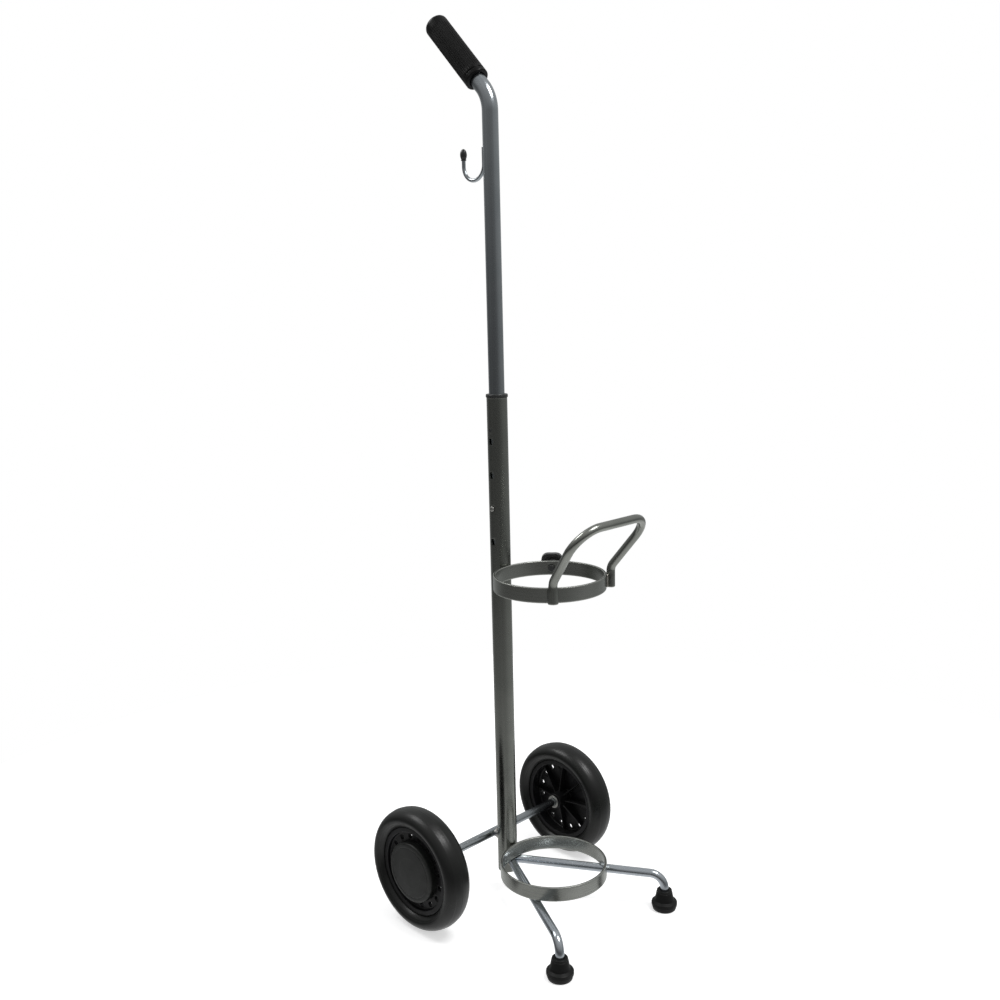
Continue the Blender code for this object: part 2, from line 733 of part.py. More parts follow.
def build_leg(side, sign):
    """One leg rod from the pole to its foot, and the rubber tip on it."""
    foot_top_gap = FOOT_BORE_Z + GAP
    corners = [(0, LEG_ROOT_Y, LEG_Z), (sign * FOOT_X, FOOT_Y, LEG_Z), (sign * FOOT_X, FOOT_Y, foot_top_gap)]
    leg = rod(f"{side}_leg", rounded_path(corners, [LEG_BEND], 6), ROD_R, BRIGHT_CHROME)
    cut(leg, drill(f"{side}_leg_cope", OUTER_R + GAP, CUT_LENGTH, (0, 0, LEG_Z), steps=TUBE_STEPS))
    half = 0.0250
    mitre_middle = (-sign * (half - GAP / 2), LEG_ROOT_Y, LEG_Z)
    cut(leg, block(f"{side}_leg_mitre", (2 * half, 2 * half, half), mitre_middle))

    bore_r = ROD_R + GAP
    flange_r = 0.0142
    profile = [
        (0, FOOT_BORE_Z),
        (bore_r, FOOT_BORE_Z),
        (bore_r, FOOT_HEIGHT),
        (0.0084, FOOT_HEIGHT),
        (0.0106, 0.0110),
        (0.0134, 0.0094),
        (flange_r, 0.0078),
        (flange_r, 0.0036),
        (0.0122, 0),
        (0, 0),
    ]
    turned(f"{side}_foot", profile, TUBE_STEPS, RUBBER, (sign * FOOT_X, FOOT_Y, 0), closed=False)


build_pole()
build_handle()
build_hook()
build_snap_button()
build_rings()
build_bail()
build_clamp()
build_axle()
for side_name, direction in (("left", -1), ("right", 1)):
    build_wheel(side_name, direction)
    build_leg(side_name, direction)
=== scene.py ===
"""The finished look of a small single-cylinder gas cart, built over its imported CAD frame.

Every visible piece is rebuilt here with a fine mesh and a procedural material. Units are metres, +Z is up,
-Y is the front. Places come from the CAD nodes' boxes; the few shapes a box can't give repeat the CAD's sizes.
"""

import json
from math import acos, asin, copysign, cos, exp, hypot, pi, radians, sin, sqrt, tan

import bmesh
import bpy
from mathutils import Matrix, Vector


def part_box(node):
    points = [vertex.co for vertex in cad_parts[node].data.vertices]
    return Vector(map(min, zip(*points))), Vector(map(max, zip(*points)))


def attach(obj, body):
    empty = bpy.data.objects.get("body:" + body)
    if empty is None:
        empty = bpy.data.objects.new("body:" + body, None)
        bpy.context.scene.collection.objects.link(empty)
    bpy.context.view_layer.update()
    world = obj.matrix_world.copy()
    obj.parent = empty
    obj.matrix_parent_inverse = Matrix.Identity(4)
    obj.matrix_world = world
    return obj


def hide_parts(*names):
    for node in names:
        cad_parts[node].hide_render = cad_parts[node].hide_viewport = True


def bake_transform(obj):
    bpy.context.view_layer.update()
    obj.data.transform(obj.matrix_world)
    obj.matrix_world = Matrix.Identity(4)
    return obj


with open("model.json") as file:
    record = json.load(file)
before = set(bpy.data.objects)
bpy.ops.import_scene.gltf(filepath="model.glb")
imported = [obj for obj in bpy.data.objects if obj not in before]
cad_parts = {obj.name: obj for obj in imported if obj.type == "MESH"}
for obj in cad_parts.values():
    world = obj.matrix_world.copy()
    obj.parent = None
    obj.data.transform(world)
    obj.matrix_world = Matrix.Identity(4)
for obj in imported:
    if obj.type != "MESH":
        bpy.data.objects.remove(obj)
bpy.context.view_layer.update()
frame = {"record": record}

RECORD = frame["record"]
BODY_OF = {node: body for body, nodes in RECORD["behaviour"]["bodies"].items() for node in nodes}
MM = 0.001
TURN = 2 * pi
QUARTER = pi / 2

# ---- places


def middle(node):
    """The middle of a CAD node's box."""
    low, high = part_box(node)
    return (low + high) / 2


def box_radius(node):
    """Half of a CAD node's width along X."""
    low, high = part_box(node)
    return (high.x - low.x) / 2


pole_low, pole_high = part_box("outer_tube")
inner_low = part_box("inner_tube")[0]
POLE_Y = middle("outer_tube").y
OUTER_R = box_radius("outer_tube")
INNER_R = box_radius("inner_tube")
OUTER_WALL = 1.5 * MM
INNER_WALL = 1.2 * MM
GAP = 0.3 * MM
SINK = 0.05 * MM


def at(x, y, z):
    """A point given from the foot of the pole's axis."""
    return Vector((x, y + POLE_Y, z))


# ---- meshes


def smoothstep(low, high, value):
    """A smooth rise from 0 at low to 1 at high."""
    t = min(1.0, max(0.0, (value - low) / (high - low)))
    return t * t * (3 - 2 * t)


def rounded(points, loop=True, steps=4, support=0.8 * MM):
    """A profile with its corners rounded. A point is (r, z) or (r, z, rounding in millimetres).

    Gives (r, z, wear), where wear is 1 on a rounded edge and 0 just beside it.
    """
    count = len(points)
    made = []
    for i, point in enumerate(points):
        here = Vector(point[:2])
        rounding = point[2] * MM if len(point) > 2 else 0.0
        if rounding == 0 or (not loop and i in (0, count - 1)):
            made.append((here.x, here.y, 0.0))
            continue
        before = Vector(points[i - 1][:2]) - here
        after = Vector(points[(i + 1) % count][:2]) - here
        spread = before.angle(after)
        reach = min(rounding / tan(spread / 2), before.length * 0.49, after.length * 0.49)
        radius = reach * tan(spread / 2)
        start = here + before.normalized() * reach
        end = here + after.normalized() * reach
        centre = here + (before.normalized() + after.normalized()).normalized() * (radius / sin(spread / 2))
        if before.length > reach + 2 * support:
            beside = start + before.normalized() * support
            made.append((beside.x, beside.y, 0.0))
        arm_a, arm_b = start - centre, end - centre
        sweep = arm_a.angle_signed(arm_b)
        for k in range(steps + 1):
            turned_arm = arm_a.copy()
            turned_arm.rotate(Matrix.Rotation(-sweep * k / steps, 2))
            spot = centre + turned_arm
            made.append((spot.x, spot.y, 1.0))
        if after.length > reach + 2 * support:
            beside = end + after.normalized() * support
            made.append((beside.x, beside.y, 0.0))
    return made


def skin(name, rings, loop=False):
    """One closed mesh over rings of (point, flow, wear). A ring of one point closes an end."""
    form = bmesh.new()
    flow = form.verts.layers.float_vector.new("flow")
    wear = form.verts.layers.float.new("wear")
    made = []
    for ring in rings:
        row = []
        for point, along, worn in ring:
            vert = form.verts.new(point)
            vert[flow] = along
            vert[wear] = worn
            row.append(vert)
        made.append(row)
    pairs = list(zip(made, made[1:]))
    if loop:
        pairs.append((made[-1], made[0]))
    for a, b in pairs:
        size = max(len(a), len(b))
        for i in range(size):
            j = (i + 1) % size
            corners = [a[i % len(a)], a[j % len(a)], b[j % len(b)], b[i % len(b)]]
            corners = list(dict.fromkeys(corners))
            if len(corners) > 2:
                form.faces.new(corners)
    if not loop:
        for ring in (made[0], made[-1]):
            if len(ring) > 2:
                form.faces.new(ring)
    bmesh.ops.recalc_face_normals(form, faces=form.faces)
    mesh = bpy.data.meshes.new(name)
    form.to_mesh(mesh)
    form.free()
    thing = added(name, mesh)
    soften(thing)
    return thing


def added(name, data):
    """A new object in the scene."""
    thing = bpy.data.objects.new(name, data)
    bpy.context.scene.collection.objects.link(thing)
    return thing


def soften(thing):
    """Smooth shading, with the real edges kept sharp."""
    thing.data.shade_smooth()
    thing.data.set_sharp_from_angle(angle=radians(38))


def lathe(name, profile, sides, loop=True, shape=None):
    """A turned body about its own Z. shape(angle, r, z) may change a point's radius."""
    rings = []
    run = 0.0
    last = None
    for r, z, worn in profile:
        if last is not None:
            run += hypot(r - last[0], z - last[1])
        last = (r, z)
        if r < 1e-7:
            rings.append([((0, 0, z), (run, 0, 0), worn)])
            continue
        ring = []
        for i in range(sides):
            angle = TURN * i / sides
            size = shape(angle, r, z) if shape else r
            c, s = cos(angle), sin(angle)
            ring.append(((size * c, size * s, z), (run, r * c, r * s), worn))
        rings.append(ring)
    return skin(name, rings, loop)


def frames_along(path, closed=False, side=None):
    """For each point of a path: two cross directions that don't twist."""
    count = len(path)
    tangents = []
    for i in range(count):
        a = path[i - 1] if (i > 0 or closed) else path[i]
        b = path[(i + 1) % count] if (i < count - 1 or closed) else path[i]
        tangents.append((b - a).normalized())
    first = side or (Vector((1, 0, 0)) if abs(tangents[0].x) < 0.8 else Vector((0, 1, 0)))
    normal = (first - tangents[0] * first.dot(tangents[0])).normalized()
    made = []
    for i, tangent in enumerate(tangents):
        if i:
            turn = tangents[i - 1].rotation_difference(tangent)
            normal = turn @ normal
            normal = (normal - tangent * normal.dot(tangent)).normalized()
        made.append((normal, tangent.cross(normal)))
    return made


def bar(name, path, radius, sides, edge=0.4 * MM, closed=False, side=None, scale=None, wall=None):
    """A round bar or tube along a path. scale(distance) gives the stretch along both cross directions."""
    points = [Vector(p) for p in path]
    if closed:
        stations = [(p, 0.0, 0.0) for p in points]
    else:
        head = (points[1] - points[0]).normalized()
        tail = (points[-1] - points[-2]).normalized()
        turns = [QUARTER * k / 4 for k in range(5)]
        stations = [(points[0] + head * edge * (1 - cos(t)), edge * (1 - sin(t)), 1.0) for t in turns]
        stations.append((points[0] + head * 3 * edge, 0.0, 0.0))
        stations += [(p, 0.0, 0.0) for p in points[1:-1]]
        stations.append((points[-1] - tail * 3 * edge, 0.0, 0.0))
        stations += [(points[-1] - tail * edge * (1 - cos(t)), edge * (1 - sin(t)), 1.0) for t in reversed(turns)]
    centres = [s[0] for s in stations]
    guides = frames_along(centres, closed, side)
    rings = []
    run = 0.0
    for i, (centre, less, worn) in enumerate(stations):
        if i:
            run += (centre - centres[i - 1]).length
        stretch = scale(run) if scale else (1.0, 1.0)
        normal, across = guides[i]
        ring = []
        for k in range(sides):
            angle = TURN * k / sides
            c, s = cos(angle), sin(angle)
            size = radius - less
            point = centre + normal * (size * stretch[0] * c) + across * (size * stretch[1] * s)
            ring.append((point, (radius * c, radius * s, run), worn))
        rings.append(ring)
    if wall is None:
        return skin(name, rings, closed)
    bore = radius - wall
    inner = [
        [(centre + (point - centre).normalized() * bore, flow, 0.0) for point, flow, worn in ring]
        for centre, ring in zip(reversed(centres), reversed(rings))
    ]
    return skin(name, rings + inner, True)


def turned_path(corners, bends, steps):
    """A path through corners, with an arc of the given radius at each inner corner."""
    points = [Vector(corners[0])]
    for i in range(1, len(corners) - 1):
        here = Vector(corners[i])
        back = (Vector(corners[i - 1]) - here).normalized()
        ahead = (Vector(corners[i + 1]) - here).normalized()
        spread = back.angle(ahead)
        reach = bends[i - 1] / tan(spread / 2)
        centre = here + (back + ahead).normalized() * (bends[i - 1] / sin(spread / 2))
        arm = here + back * reach - centre
        axis = arm.cross(here + ahead * reach - centre).normalized()
        for k in range(steps + 1):
            points.append(centre + Matrix.Rotation((pi - spread) * k / steps, 3, axis) @ arm)
    points.append(Vector(corners[-1]))
    return points


def boolean(thing, cutter, operation="DIFFERENCE"):
    """Cuts or joins, and removes the second object."""
    step = thing.modifiers.new("step", "BOOLEAN")
    step.operation = operation
    step.object = cutter
    step.solver = "EXACT"
    bake(thing)
    bpy.data.objects.remove(cutter, do_unlink=True)


def bake(thing):
    """Applies an object's modifiers to its mesh."""
    bpy.context.view_layer.update()
    evaluated = thing.evaluated_get(bpy.context.evaluated_depsgraph_get())
    mesh = bpy.data.meshes.new_from_object(evaluated)
    thing.modifiers.clear()
    old = thing.data
    thing.data = mesh
    bpy.data.meshes.remove(old)
    soften(thing)


def ease_edges(thing, width, segments=3):
    """A small bevel on every edge that a cut left sharp."""
    step = thing.modifiers.new("ease", "BEVEL")
    step.width = width
    step.segments = segments
    step.limit_method = "ANGLE"
    step.angle_limit = radians(50)
    step.use_clamp_overlap = True
    bake(thing)
    form = bmesh.new()
    form.from_mesh(thing.data)
    bmesh.ops.remove_doubles(form, verts=form.verts, dist=0.002 * MM)
    form.to_mesh(thing.data)
    form.free()
    soften(thing)


def drill(radius, length, centre, axis, sides=40):
    """A cutter: a cylinder about an axis through its centre."""
    profile = [(0, length / 2, 0.0), (radius, length / 2, 0.0), (radius, -length / 2, 0.0), (0, -length / 2, 0.0)]
    cutter = lathe("cutter", profile, sides, loop=False)
    cutter.matrix_world = facing(centre, axis)
    return cutter


def place(thing, matrix):
    """Moves an object's mesh, so that the object stays at the origin."""
    thing.data.transform(matrix)
    return thing


def facing(centre, axis):
    """A matrix that puts a turned body's Z along an axis."""
    return Matrix.Translation(centre) @ Vector(axis).to_track_quat("Z", "Y").to_matrix().to_4x4()


def finish_piece(thing, node, look, stands_for=True):
    """Gives the piece its material and its body, and hides the CAD node that it stands for."""
    thing.data.materials.clear()
    thing.data.materials.append(LOOKS[look])
    if stands_for:
        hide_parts(node)
    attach(thing, BODY_OF[node])
    return thing


def turned(name, node, look, profile, sides, matrix, stands_for=True, **shaping):
    """A turned piece: its mesh, put in place and finished."""
    return finish_piece(place(lathe(name, profile, sides, **shaping), matrix), node, look, stands_for)


def bead(name, path, radius, node, closed=False, pitch=1.6 * MM):
    """A weld bead: a soft rope of overlapping ripples along a path."""
    points = [Vector(p) for p in path]
    fine = [points[0]]
    ends = points[1:] + ([points[0]] if closed else [])
    for target in ends:
        start = fine[-1]
        gap = (target - start).length
        steps = max(1, round(gap / (pitch / 5)))
        fine += [start.lerp(target, k / steps) for k in range(1, steps + 1)]
    if closed:
        fine.pop()
    total = sum((b - a).length for a, b in zip(fine, fine[1:]))

    def swell(run):
        size = 1 + 0.12 * (abs(sin(pi * run / pitch)) - 0.6)
        if not closed:
            taper = min(1.0, run / (1.6 * radius), (total - run) / (1.6 * radius))
            size *= sqrt(max(0.06, 1 - (1 - taper) ** 2))
        return (size, size)

    weld = bar(name, fine, radius, 12, edge=0.15 * MM, closed=closed, scale=swell)
    return finish_piece(weld, node, "weld", stands_for=False)


# ---- materials


class Graph:
    """A node tree, with short ways to add the nodes used here."""

    def __init__(self, tree, place):
        self.tree = tree
        self.place = self.node("TexCoord").outputs[place]

    def node(self, kind, sockets=(), **values):
        """A new node. sockets names its inputs, each with a number or with the output to link to it."""
        made = self.tree.nodes.new("ShaderNode" + kind)
        for key, value in values.items():
            setattr(made, key, value)
        for key, value in sockets:
            if isinstance(value, bpy.types.NodeSocket):
                self.tree.links.new(value, made.inputs[key])
            else:
                made.inputs[key].default_value = value
        return made

    def attribute(self, name, output):
        return self.node("Attribute", attribute_name=name).outputs[output]

    def stretched(self, source, scale):
        return self.node("Mapping", (("Vector", source), ("Scale", scale))).outputs["Vector"]

    def noise(self, source, scale, detail=3.0, rough=0.55, warp=0.0):
        sockets = (("Vector", source), ("Scale", scale), ("Detail", detail), ("Roughness", rough), ("Distortion", warp))
        return self.node("TexNoise", sockets).outputs["Fac"]

    def span(self, source, low, high, to_low=0.0, to_high=1.0):
        sockets = (("Value", source), ("From Min", low), ("From Max", high), ("To Min", to_low), ("To Max", to_high))
        return self.node("MapRange", sockets).outputs["Result"]

    def math(self, operation, *values):
        return self.node("Math", enumerate(values), operation=operation).outputs["Value"]

    def mix(self, share, a, b):
        """A colour between a and b, each a colour or the output that gives it."""
        pair = [(*c, 1.0) if isinstance(c, tuple) else c for c in (a, b)]
        return self.node("Mix", ((0, share), (6, pair[0]), (7, pair[1])), data_type="RGBA").outputs[2]

    def bump(self, height, strength, distance, before=None):
        sockets = [("Height", height), ("Strength", strength), ("Distance", distance)]
        if before is not None:
            sockets.append(("Normal", before))
        return self.node("Bump", sockets).outputs["Normal"]


class Look(Graph):
    """A material, as the graph that feeds its shader."""

    def __init__(self, name):
        self.material = bpy.data.materials.new(name)
        self.material.use_nodes = True
        super().__init__(self.material.node_tree, "Object")

    def finish(self, colour, rough, normal, **constants):
        shader = self.tree.nodes["Principled BSDF"]
        for key, source in (("Base Color", colour), ("Roughness", rough), ("Normal", normal)):
            self.tree.links.new(source, shader.inputs[key])
        for key, value in constants.items():
            shader.inputs[key.replace("_", " ")].default_value = value
        return self.material


def plated(name, light, deep, rough, grain, haze=0.10):
    """Plated or bare metal: polishing lines along the flow, cloudy haze, and small dull spots."""
    g = Look(name)
    flow = g.stretched(g.attribute("flow", "Vector"), grain)
    lines = g.noise(flow, 1.0, detail=4.0, rough=0.7)
    clouds = g.noise(g.place, 22.0, detail=4.0, rough=0.6, warp=0.4)
    spots = g.span(g.noise(g.place, 900.0, detail=2.0), 0.64, 0.76)
    worn = g.attribute("wear", "Fac")
    tone = g.mix(g.span(clouds, 0.35, 0.68), light, deep)
    tone = g.mix(g.math("MULTIPLY", spots, 0.25), tone, tuple(c * 0.6 for c in deep))
    tone = g.mix(g.math("MULTIPLY", worn, 0.5), tone, tuple(min(1.0, c * 1.25) for c in light))
    dull = g.span(lines, 0.3, 0.75, rough - haze * 0.25, rough + haze * 0.35)
    dull = g.math("ADD", dull, g.span(clouds, 0.40, 0.75, 0.0, haze * 0.5))
    dull = g.math("ADD", dull, g.math("MULTIPLY", spots, 0.10))
    dull = g.math("ADD", dull, g.math("MULTIPLY", worn, 0.16))
    normal = g.bump(lines, 0.05, 0.00002)
    normal = g.bump(g.noise(g.place, 120.0, detail=2.0), 0.04, 0.00006, normal)
    return g.finish(tone, dull, normal, Metallic=1.0)


def moulded(name, light, deep, rough, grain=1400.0, relief=0.25, dusty=0.25, **constants):
    """Moulded plastic or rubber: a fine skin grain, uneven gloss, rubbed edges and a little dust."""
    g = Look(name)
    clouds = g.noise(g.place, 35.0, detail=4.0, rough=0.6, warp=0.5)
    skin_grain = g.noise(g.place, grain, detail=3.0, rough=0.6)
    specks = g.span(g.noise(g.place, 1900.0, detail=1.0), 0.66, 0.76)
    rubbed = g.math("MULTIPLY", g.attribute("wear", "Fac"), g.span(g.noise(g.place, 300.0), 0.40, 0.62))
    tone = g.mix(g.span(clouds, 0.35, 0.68), light, deep)
    tone = g.mix(g.math("MULTIPLY", rubbed, 0.45), tone, tuple(c * 2.2 for c in light))
    settled = g.math("MULTIPLY", specks, g.span(clouds, 0.45, 0.70, 0.05, dusty))
    tone = g.mix(settled, tone, (0.05, 0.05, 0.047))
    dull = g.span(clouds, 0.32, 0.70, rough - 0.06, rough + 0.08)
    dull = g.math("ADD", dull, g.span(skin_grain, 0.35, 0.65, -0.03, 0.05))
    dull = g.math("SUBTRACT", dull, g.math("MULTIPLY", rubbed, 0.08))
    normal = g.bump(skin_grain, relief, 0.00008)
    normal = g.bump(clouds, 0.10, 0.0006, normal)
    return g.finish(tone, dull, normal, **constants)


def welded(name):
    """Weld metal: bright ripples with a brown and blue heat tint."""
    g = Look(name)
    clouds = g.noise(g.place, 180.0, detail=4.0, warp=0.6)
    pits = g.noise(g.place, 1500.0, detail=3.0)
    tint = g.noise(g.place, 70.0, detail=2.0)
    tone = g.mix(g.span(clouds, 0.35, 0.65), (0.50, 0.49, 0.46), (0.30, 0.28, 0.25))
    tone = g.mix(g.span(tint, 0.50, 0.66, 0.0, 0.5), tone, (0.20, 0.23, 0.30))
    dull = g.span(pits, 0.30, 0.70, 0.26, 0.48)
    normal = g.bump(pits, 0.35, 0.0001)
    return g.finish(tone, dull, normal, Metallic=1.0)


DRAWN = (700.0, 700.0, 14.0)
TURNED = (1500.0, 30.0, 30.0)

LOOKS = {
    "chrome": plated("chrome", (0.31, 0.32, 0.295), (0.25, 0.26, 0.24), 0.24, DRAWN, 0.10),
    "band_chrome": plated("band_chrome", (0.37, 0.38, 0.355), (0.29, 0.30, 0.28), 0.25, TURNED, 0.12),
    "bright_chrome": plated("bright_chrome", (0.42, 0.45, 0.47), (0.35, 0.38, 0.40), 0.20, DRAWN, 0.10),
    # the legs' chrome is bright_chrome made a third lighter: the paler colour is a painted reflection of the bright
    # floor in the legs
    "leg_chrome_painted_floor_reflection": plated("leg_chrome_painted_floor_reflection", (0.56, 0.60, 0.64), (0.47, 0.51, 0.55), 0.20, DRAWN, 0.10),
    "zinc": plated("zinc", (0.36, 0.36, 0.34), (0.26, 0.26, 0.25), 0.30, TURNED, 0.12),
    "spring_steel": plated("spring_steel", (0.34, 0.35, 0.39), (0.22, 0.23, 0.26), 0.30, DRAWN, 0.12),
    "weld": welded("weld"),
    "black_plastic": moulded("black_plastic", (0.027, 0.028, 0.028), (0.020, 0.021, 0.021), 0.34, dusty=0.06),
    "hub_plastic": moulded("hub_plastic", (0.004, 0.004, 0.005), (0.003, 0.003, 0.003), 0.46, dusty=0.08,
                           Specular_IOR_Level=0.30),
    "cap_plastic": moulded("cap_plastic", (0.010, 0.011, 0.010), (0.007, 0.008, 0.007), 0.44, 1100.0, 0.30, dusty=0.08,
                           Specular_IOR_Level=0.35),
    "grip_vinyl": moulded("grip_vinyl", (0.003, 0.003, 0.003), (0.002, 0.002, 0.002), 0.34, 1000.0, 0.16, dusty=0.03,
                          Specular_IOR_Level=0.16),
    "rubber": moulded("rubber", (0.005, 0.005, 0.005), (0.003, 0.004, 0.003), 0.50, 1200.0, 0.30, dusty=0.08,
                      Specular_IOR_Level=0.24),
    "tyre": moulded("tyre", (0.006, 0.007, 0.006), (0.004, 0.004, 0.004), 0.33, 900.0, 0.14, dusty=0.06,
                    Specular_IOR_Level=0.42),
}

# ---- pole


def ring_edges(r_in, r_out, z_low, z_high, rounding, rows=()):
    """The closed profile of a tube's wall, with extra rows on its outer side."""
    low_edge = [(r, z_low, rounding) for r in (r_in, r_out)]
    high_edge = [(r, z_high, rounding) for r in (r_out, r_in)]
    return rounded(low_edge + [(r_out, z) for z in rows] + high_edge)


BUTTON_Z = middle("snap_button").z
HOLE_PITCH = 36.5 * MM
HOLE_STEPS = (-1, 0, 1, 2)
HOLE_R = 3.6 * MM
PIP_Z = 537.0 * MM
PIP_R = 1.6 * MM
DRILL_LENGTH = 8 * MM
SIDE = Vector((-1, 0, 0))
POLE_FOOT = Matrix.Translation(at(0, 0, 0))


def build_pole():
    """The outer tube with its column of holes, the bushing in its mouth and the plug in its foot."""
    heights = [BUTTON_Z + step * HOLE_PITCH for step in HOLE_STEPS]
    beside = 5.5 * MM
    rows = sorted(z + side for z in heights + [PIP_Z] for side in (-beside, beside))
    rows = [z for z in rows if z > pole_low.z + 3 * MM]
    rows = [z for i, z in enumerate(rows) if i == 0 or z - rows[i - 1] > 2 * MM]
    profile = ring_edges(OUTER_R - OUTER_WALL, OUTER_R, pole_low.z, pole_high.z, 0.45, rows)
    tube = place(lathe("pole_tube", profile, 96), POLE_FOOT)
    for z in heights:
        boolean(tube, drill(HOLE_R, DRILL_LENGTH, at(-OUTER_R, 0, z), SIDE))
    boolean(tube, drill(PIP_R + GAP, DRILL_LENGTH, at(-OUTER_R, 0, PIP_Z), SIDE))
    ease_edges(tube, 0.35 * MM)
    finish_piece(tube, "outer_tube", "chrome")

    low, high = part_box("tube_bushing")
    radius = box_radius("tube_bushing")
    seat = pole_high.z + GAP
    bore = INNER_R + GAP
    sleeve = OUTER_R - OUTER_WALL - GAP
    profile = rounded([
        (bore, high.z, 0.3),
        (radius, high.z, 1.0),
        (radius, seat, 0.3),
        (sleeve, seat),
        (sleeve, low.z, 0.3),
        (bore, low.z, 0.3),
    ])
    turned("bushing_collar", "tube_bushing", "black_plastic", profile, 96, POLE_FOOT)
    profile = rounded([(0, 0), (PIP_R, 0, 0.5), (PIP_R, -PIP_R), (0, -PIP_R)], loop=False)
    spot = facing(at(-OUTER_R + 0.1 * MM, 0, PIP_Z), SIDE)
    turned("bushing_pip", "tube_bushing", "black_plastic", profile, 32, spot, stands_for=False, loop=False)

    low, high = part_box("pole_end_plug")
    radius = box_radius("pole_end_plug")
    profile = rounded([
        (0, low.z + 1.2 * MM),
        (radius * 0.62, low.z + 1.2 * MM, 0.6),
        (radius * 0.72, low.z, 0.5),
        (radius, low.z, 0.6),
        (radius, high.z, 0.6),
        (0, high.z),
    ], loop=False)
    turned("end_plug", "pole_end_plug", "black_plastic", profile, 64, POLE_FOOT, loop=False)


# ---- handle

BEND_Z = 876.2 * MM
BEND_ANGLE = radians(43.5)
BEND_R = 36.0 * MM
GRIP_START = 24.5 * MM
GRIP_LENGTH = 89.0 * MM
GRIP_R = 12.7 * MM
ALONG = Vector((0, sin(BEND_ANGLE), cos(BEND_ANGLE)))


def build_handle():
    """The inner tube, bent back at its top, and the ribbed sleeve on its end."""
    top = at(0, 0, BEND_Z)
    end = top + ALONG * (GRIP_START + GRIP_LENGTH - 6 * MM)
    foot, *bend = turned_path([at(0, 0, inner_low.z), top, end], [BEND_R], 28)
    ring_heights = (BUTTON_Z - 7 * MM, BUTTON_Z + 7 * MM, 0.60, 0.72, 0.80, 0.84)
    path = [foot] + [at(0, 0, z) for z in ring_heights] + bend
    tube = bar("inner_tube_bent", path, INNER_R, 80, edge=0.4 * MM, side=Vector((1, 0, 0)), wall=INNER_WALL)
    boolean(tube, drill(HOLE_R, DRILL_LENGTH, at(-INNER_R, 0, BUTTON_Z), SIDE))
    finish_piece(tube, "inner_tube", "bright_chrome")

    ribs = 32
    rib_depth = 0.55 * MM
    ribs_low, ribs_high, fade = 8.5 * MM, GRIP_LENGTH - 11 * MM, 2.5 * MM

    def ribbed(angle, r, z):
        if r < GRIP_R - 1.6 * MM:
            return r
        share = smoothstep(ribs_low, ribs_low + fade, z) * (1 - smoothstep(ribs_high - fade, ribs_high, z))
        groove = (0.5 - 0.5 * cos(ribs * angle)) ** 1.5
        return r - rib_depth * groove * share

    bore, bore_end = INNER_R + GAP, GRIP_LENGTH - 4.3 * MM
    outline = rounded([
        (0, GRIP_LENGTH - 0.5 * MM),
        (1.6 * MM, GRIP_LENGTH - 0.5 * MM, 0.3),
        (2.2 * MM, GRIP_LENGTH, 0.3),
        (GRIP_R, GRIP_LENGTH, 4.5),
        (GRIP_R, 6.6 * MM, 0.5),
        (GRIP_R - 0.8 * MM, 6.2 * MM, 0.3),
        (GRIP_R - 0.8 * MM, 5.4 * MM, 0.3),
        (GRIP_R, 5.0 * MM, 0.5),
        (GRIP_R, 0, 1.3),
        (bore, 0, 0.8),
        (bore, bore_end),
        (0, bore_end),
    ], loop=False, steps=5)
    rows = []
    for a, b in zip(outline, outline[1:]):
        rows.append(a)
        if max(abs(a[0] - GRIP_R), abs(b[0] - GRIP_R)) < 1e-6 and abs(a[1] - b[1]) > 30 * MM:
            rows += [(GRIP_R, a[1] + (b[1] - a[1]) * k / 40, 0.15) for k in range(1, 40)]
    rows.append(outline[-1])
    spot = facing(top + ALONG * GRIP_START, ALONG)
    turned("grip_sleeve", "grip", "grip_vinyl", rows, ribs * 10, spot, loop=False, shape=ribbed)


def build_hook():
    """The wire hook behind the inner tube, the two welds that hold it, and the cap on its tip."""
    wire_r = 2.0 * MM
    bow_r = 15.0 * MM
    low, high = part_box("hook_wire")
    cap_low, cap_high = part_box("hook_cap")
    root_y = low.y + wire_r - POLE_Y
    bow_z = low.z + wire_r + bow_r
    path = [at(0, root_y, high.z)]
    for k in range(37):
        angle = pi + pi * k / 36
        path.append(at(0, root_y + bow_r * (1 + cos(angle)), bow_z + bow_r * sin(angle)))
    path.append(at(0, root_y + 2 * bow_r, cap_high.z - 3 * MM))
    wire = bar("hook_bow", path, wire_r, 28, edge=0.3 * MM, side=Vector((1, 0, 0)))
    finish_piece(wire, "hook_wire", "bright_chrome")
    weld_y = INNER_R * 0.985 + 0.5 * MM
    for side, x in (("left", -1.5 * MM), ("right", 1.5 * MM)):
        line = [at(x, weld_y, high.z - 1.0 * MM), at(x, weld_y, high.z - 15.0 * MM)]
        bead(f"hook_weld_{side}", line, 0.9 * MM, "hook_wire", pitch=1.1 * MM)

    half = (cap_high.z - cap_low.z) / 2
    radius = box_radius("hook_cap")
    bulb = [(0, half, 0.0)]
    for k in range(1, 20):
        angle = radians(90 - k * 7)
        bulb.append((radius * cos(angle), half * sin(angle), 0.2))
    mouth = -half
    bore_r, bore_end = 2.2 * MM, half - 2.7 * MM
    bulb += [(2.75 * MM, mouth + 0.5 * MM, 0.6), (2.7 * MM, mouth + 0.1 * MM, 1.0), (2.5 * MM, mouth, 1.0)]
    bulb += [(bore_r, mouth + 0.1 * MM, 0.0), (bore_r, bore_end, 0.0), (0, bore_end, 0.0)]
    spot = middle("hook_cap")
    turned("hook_tip_cap", "hook_cap", "black_plastic", bulb, 48, Matrix.Translation((0, spot.y, spot.z)), loop=False)


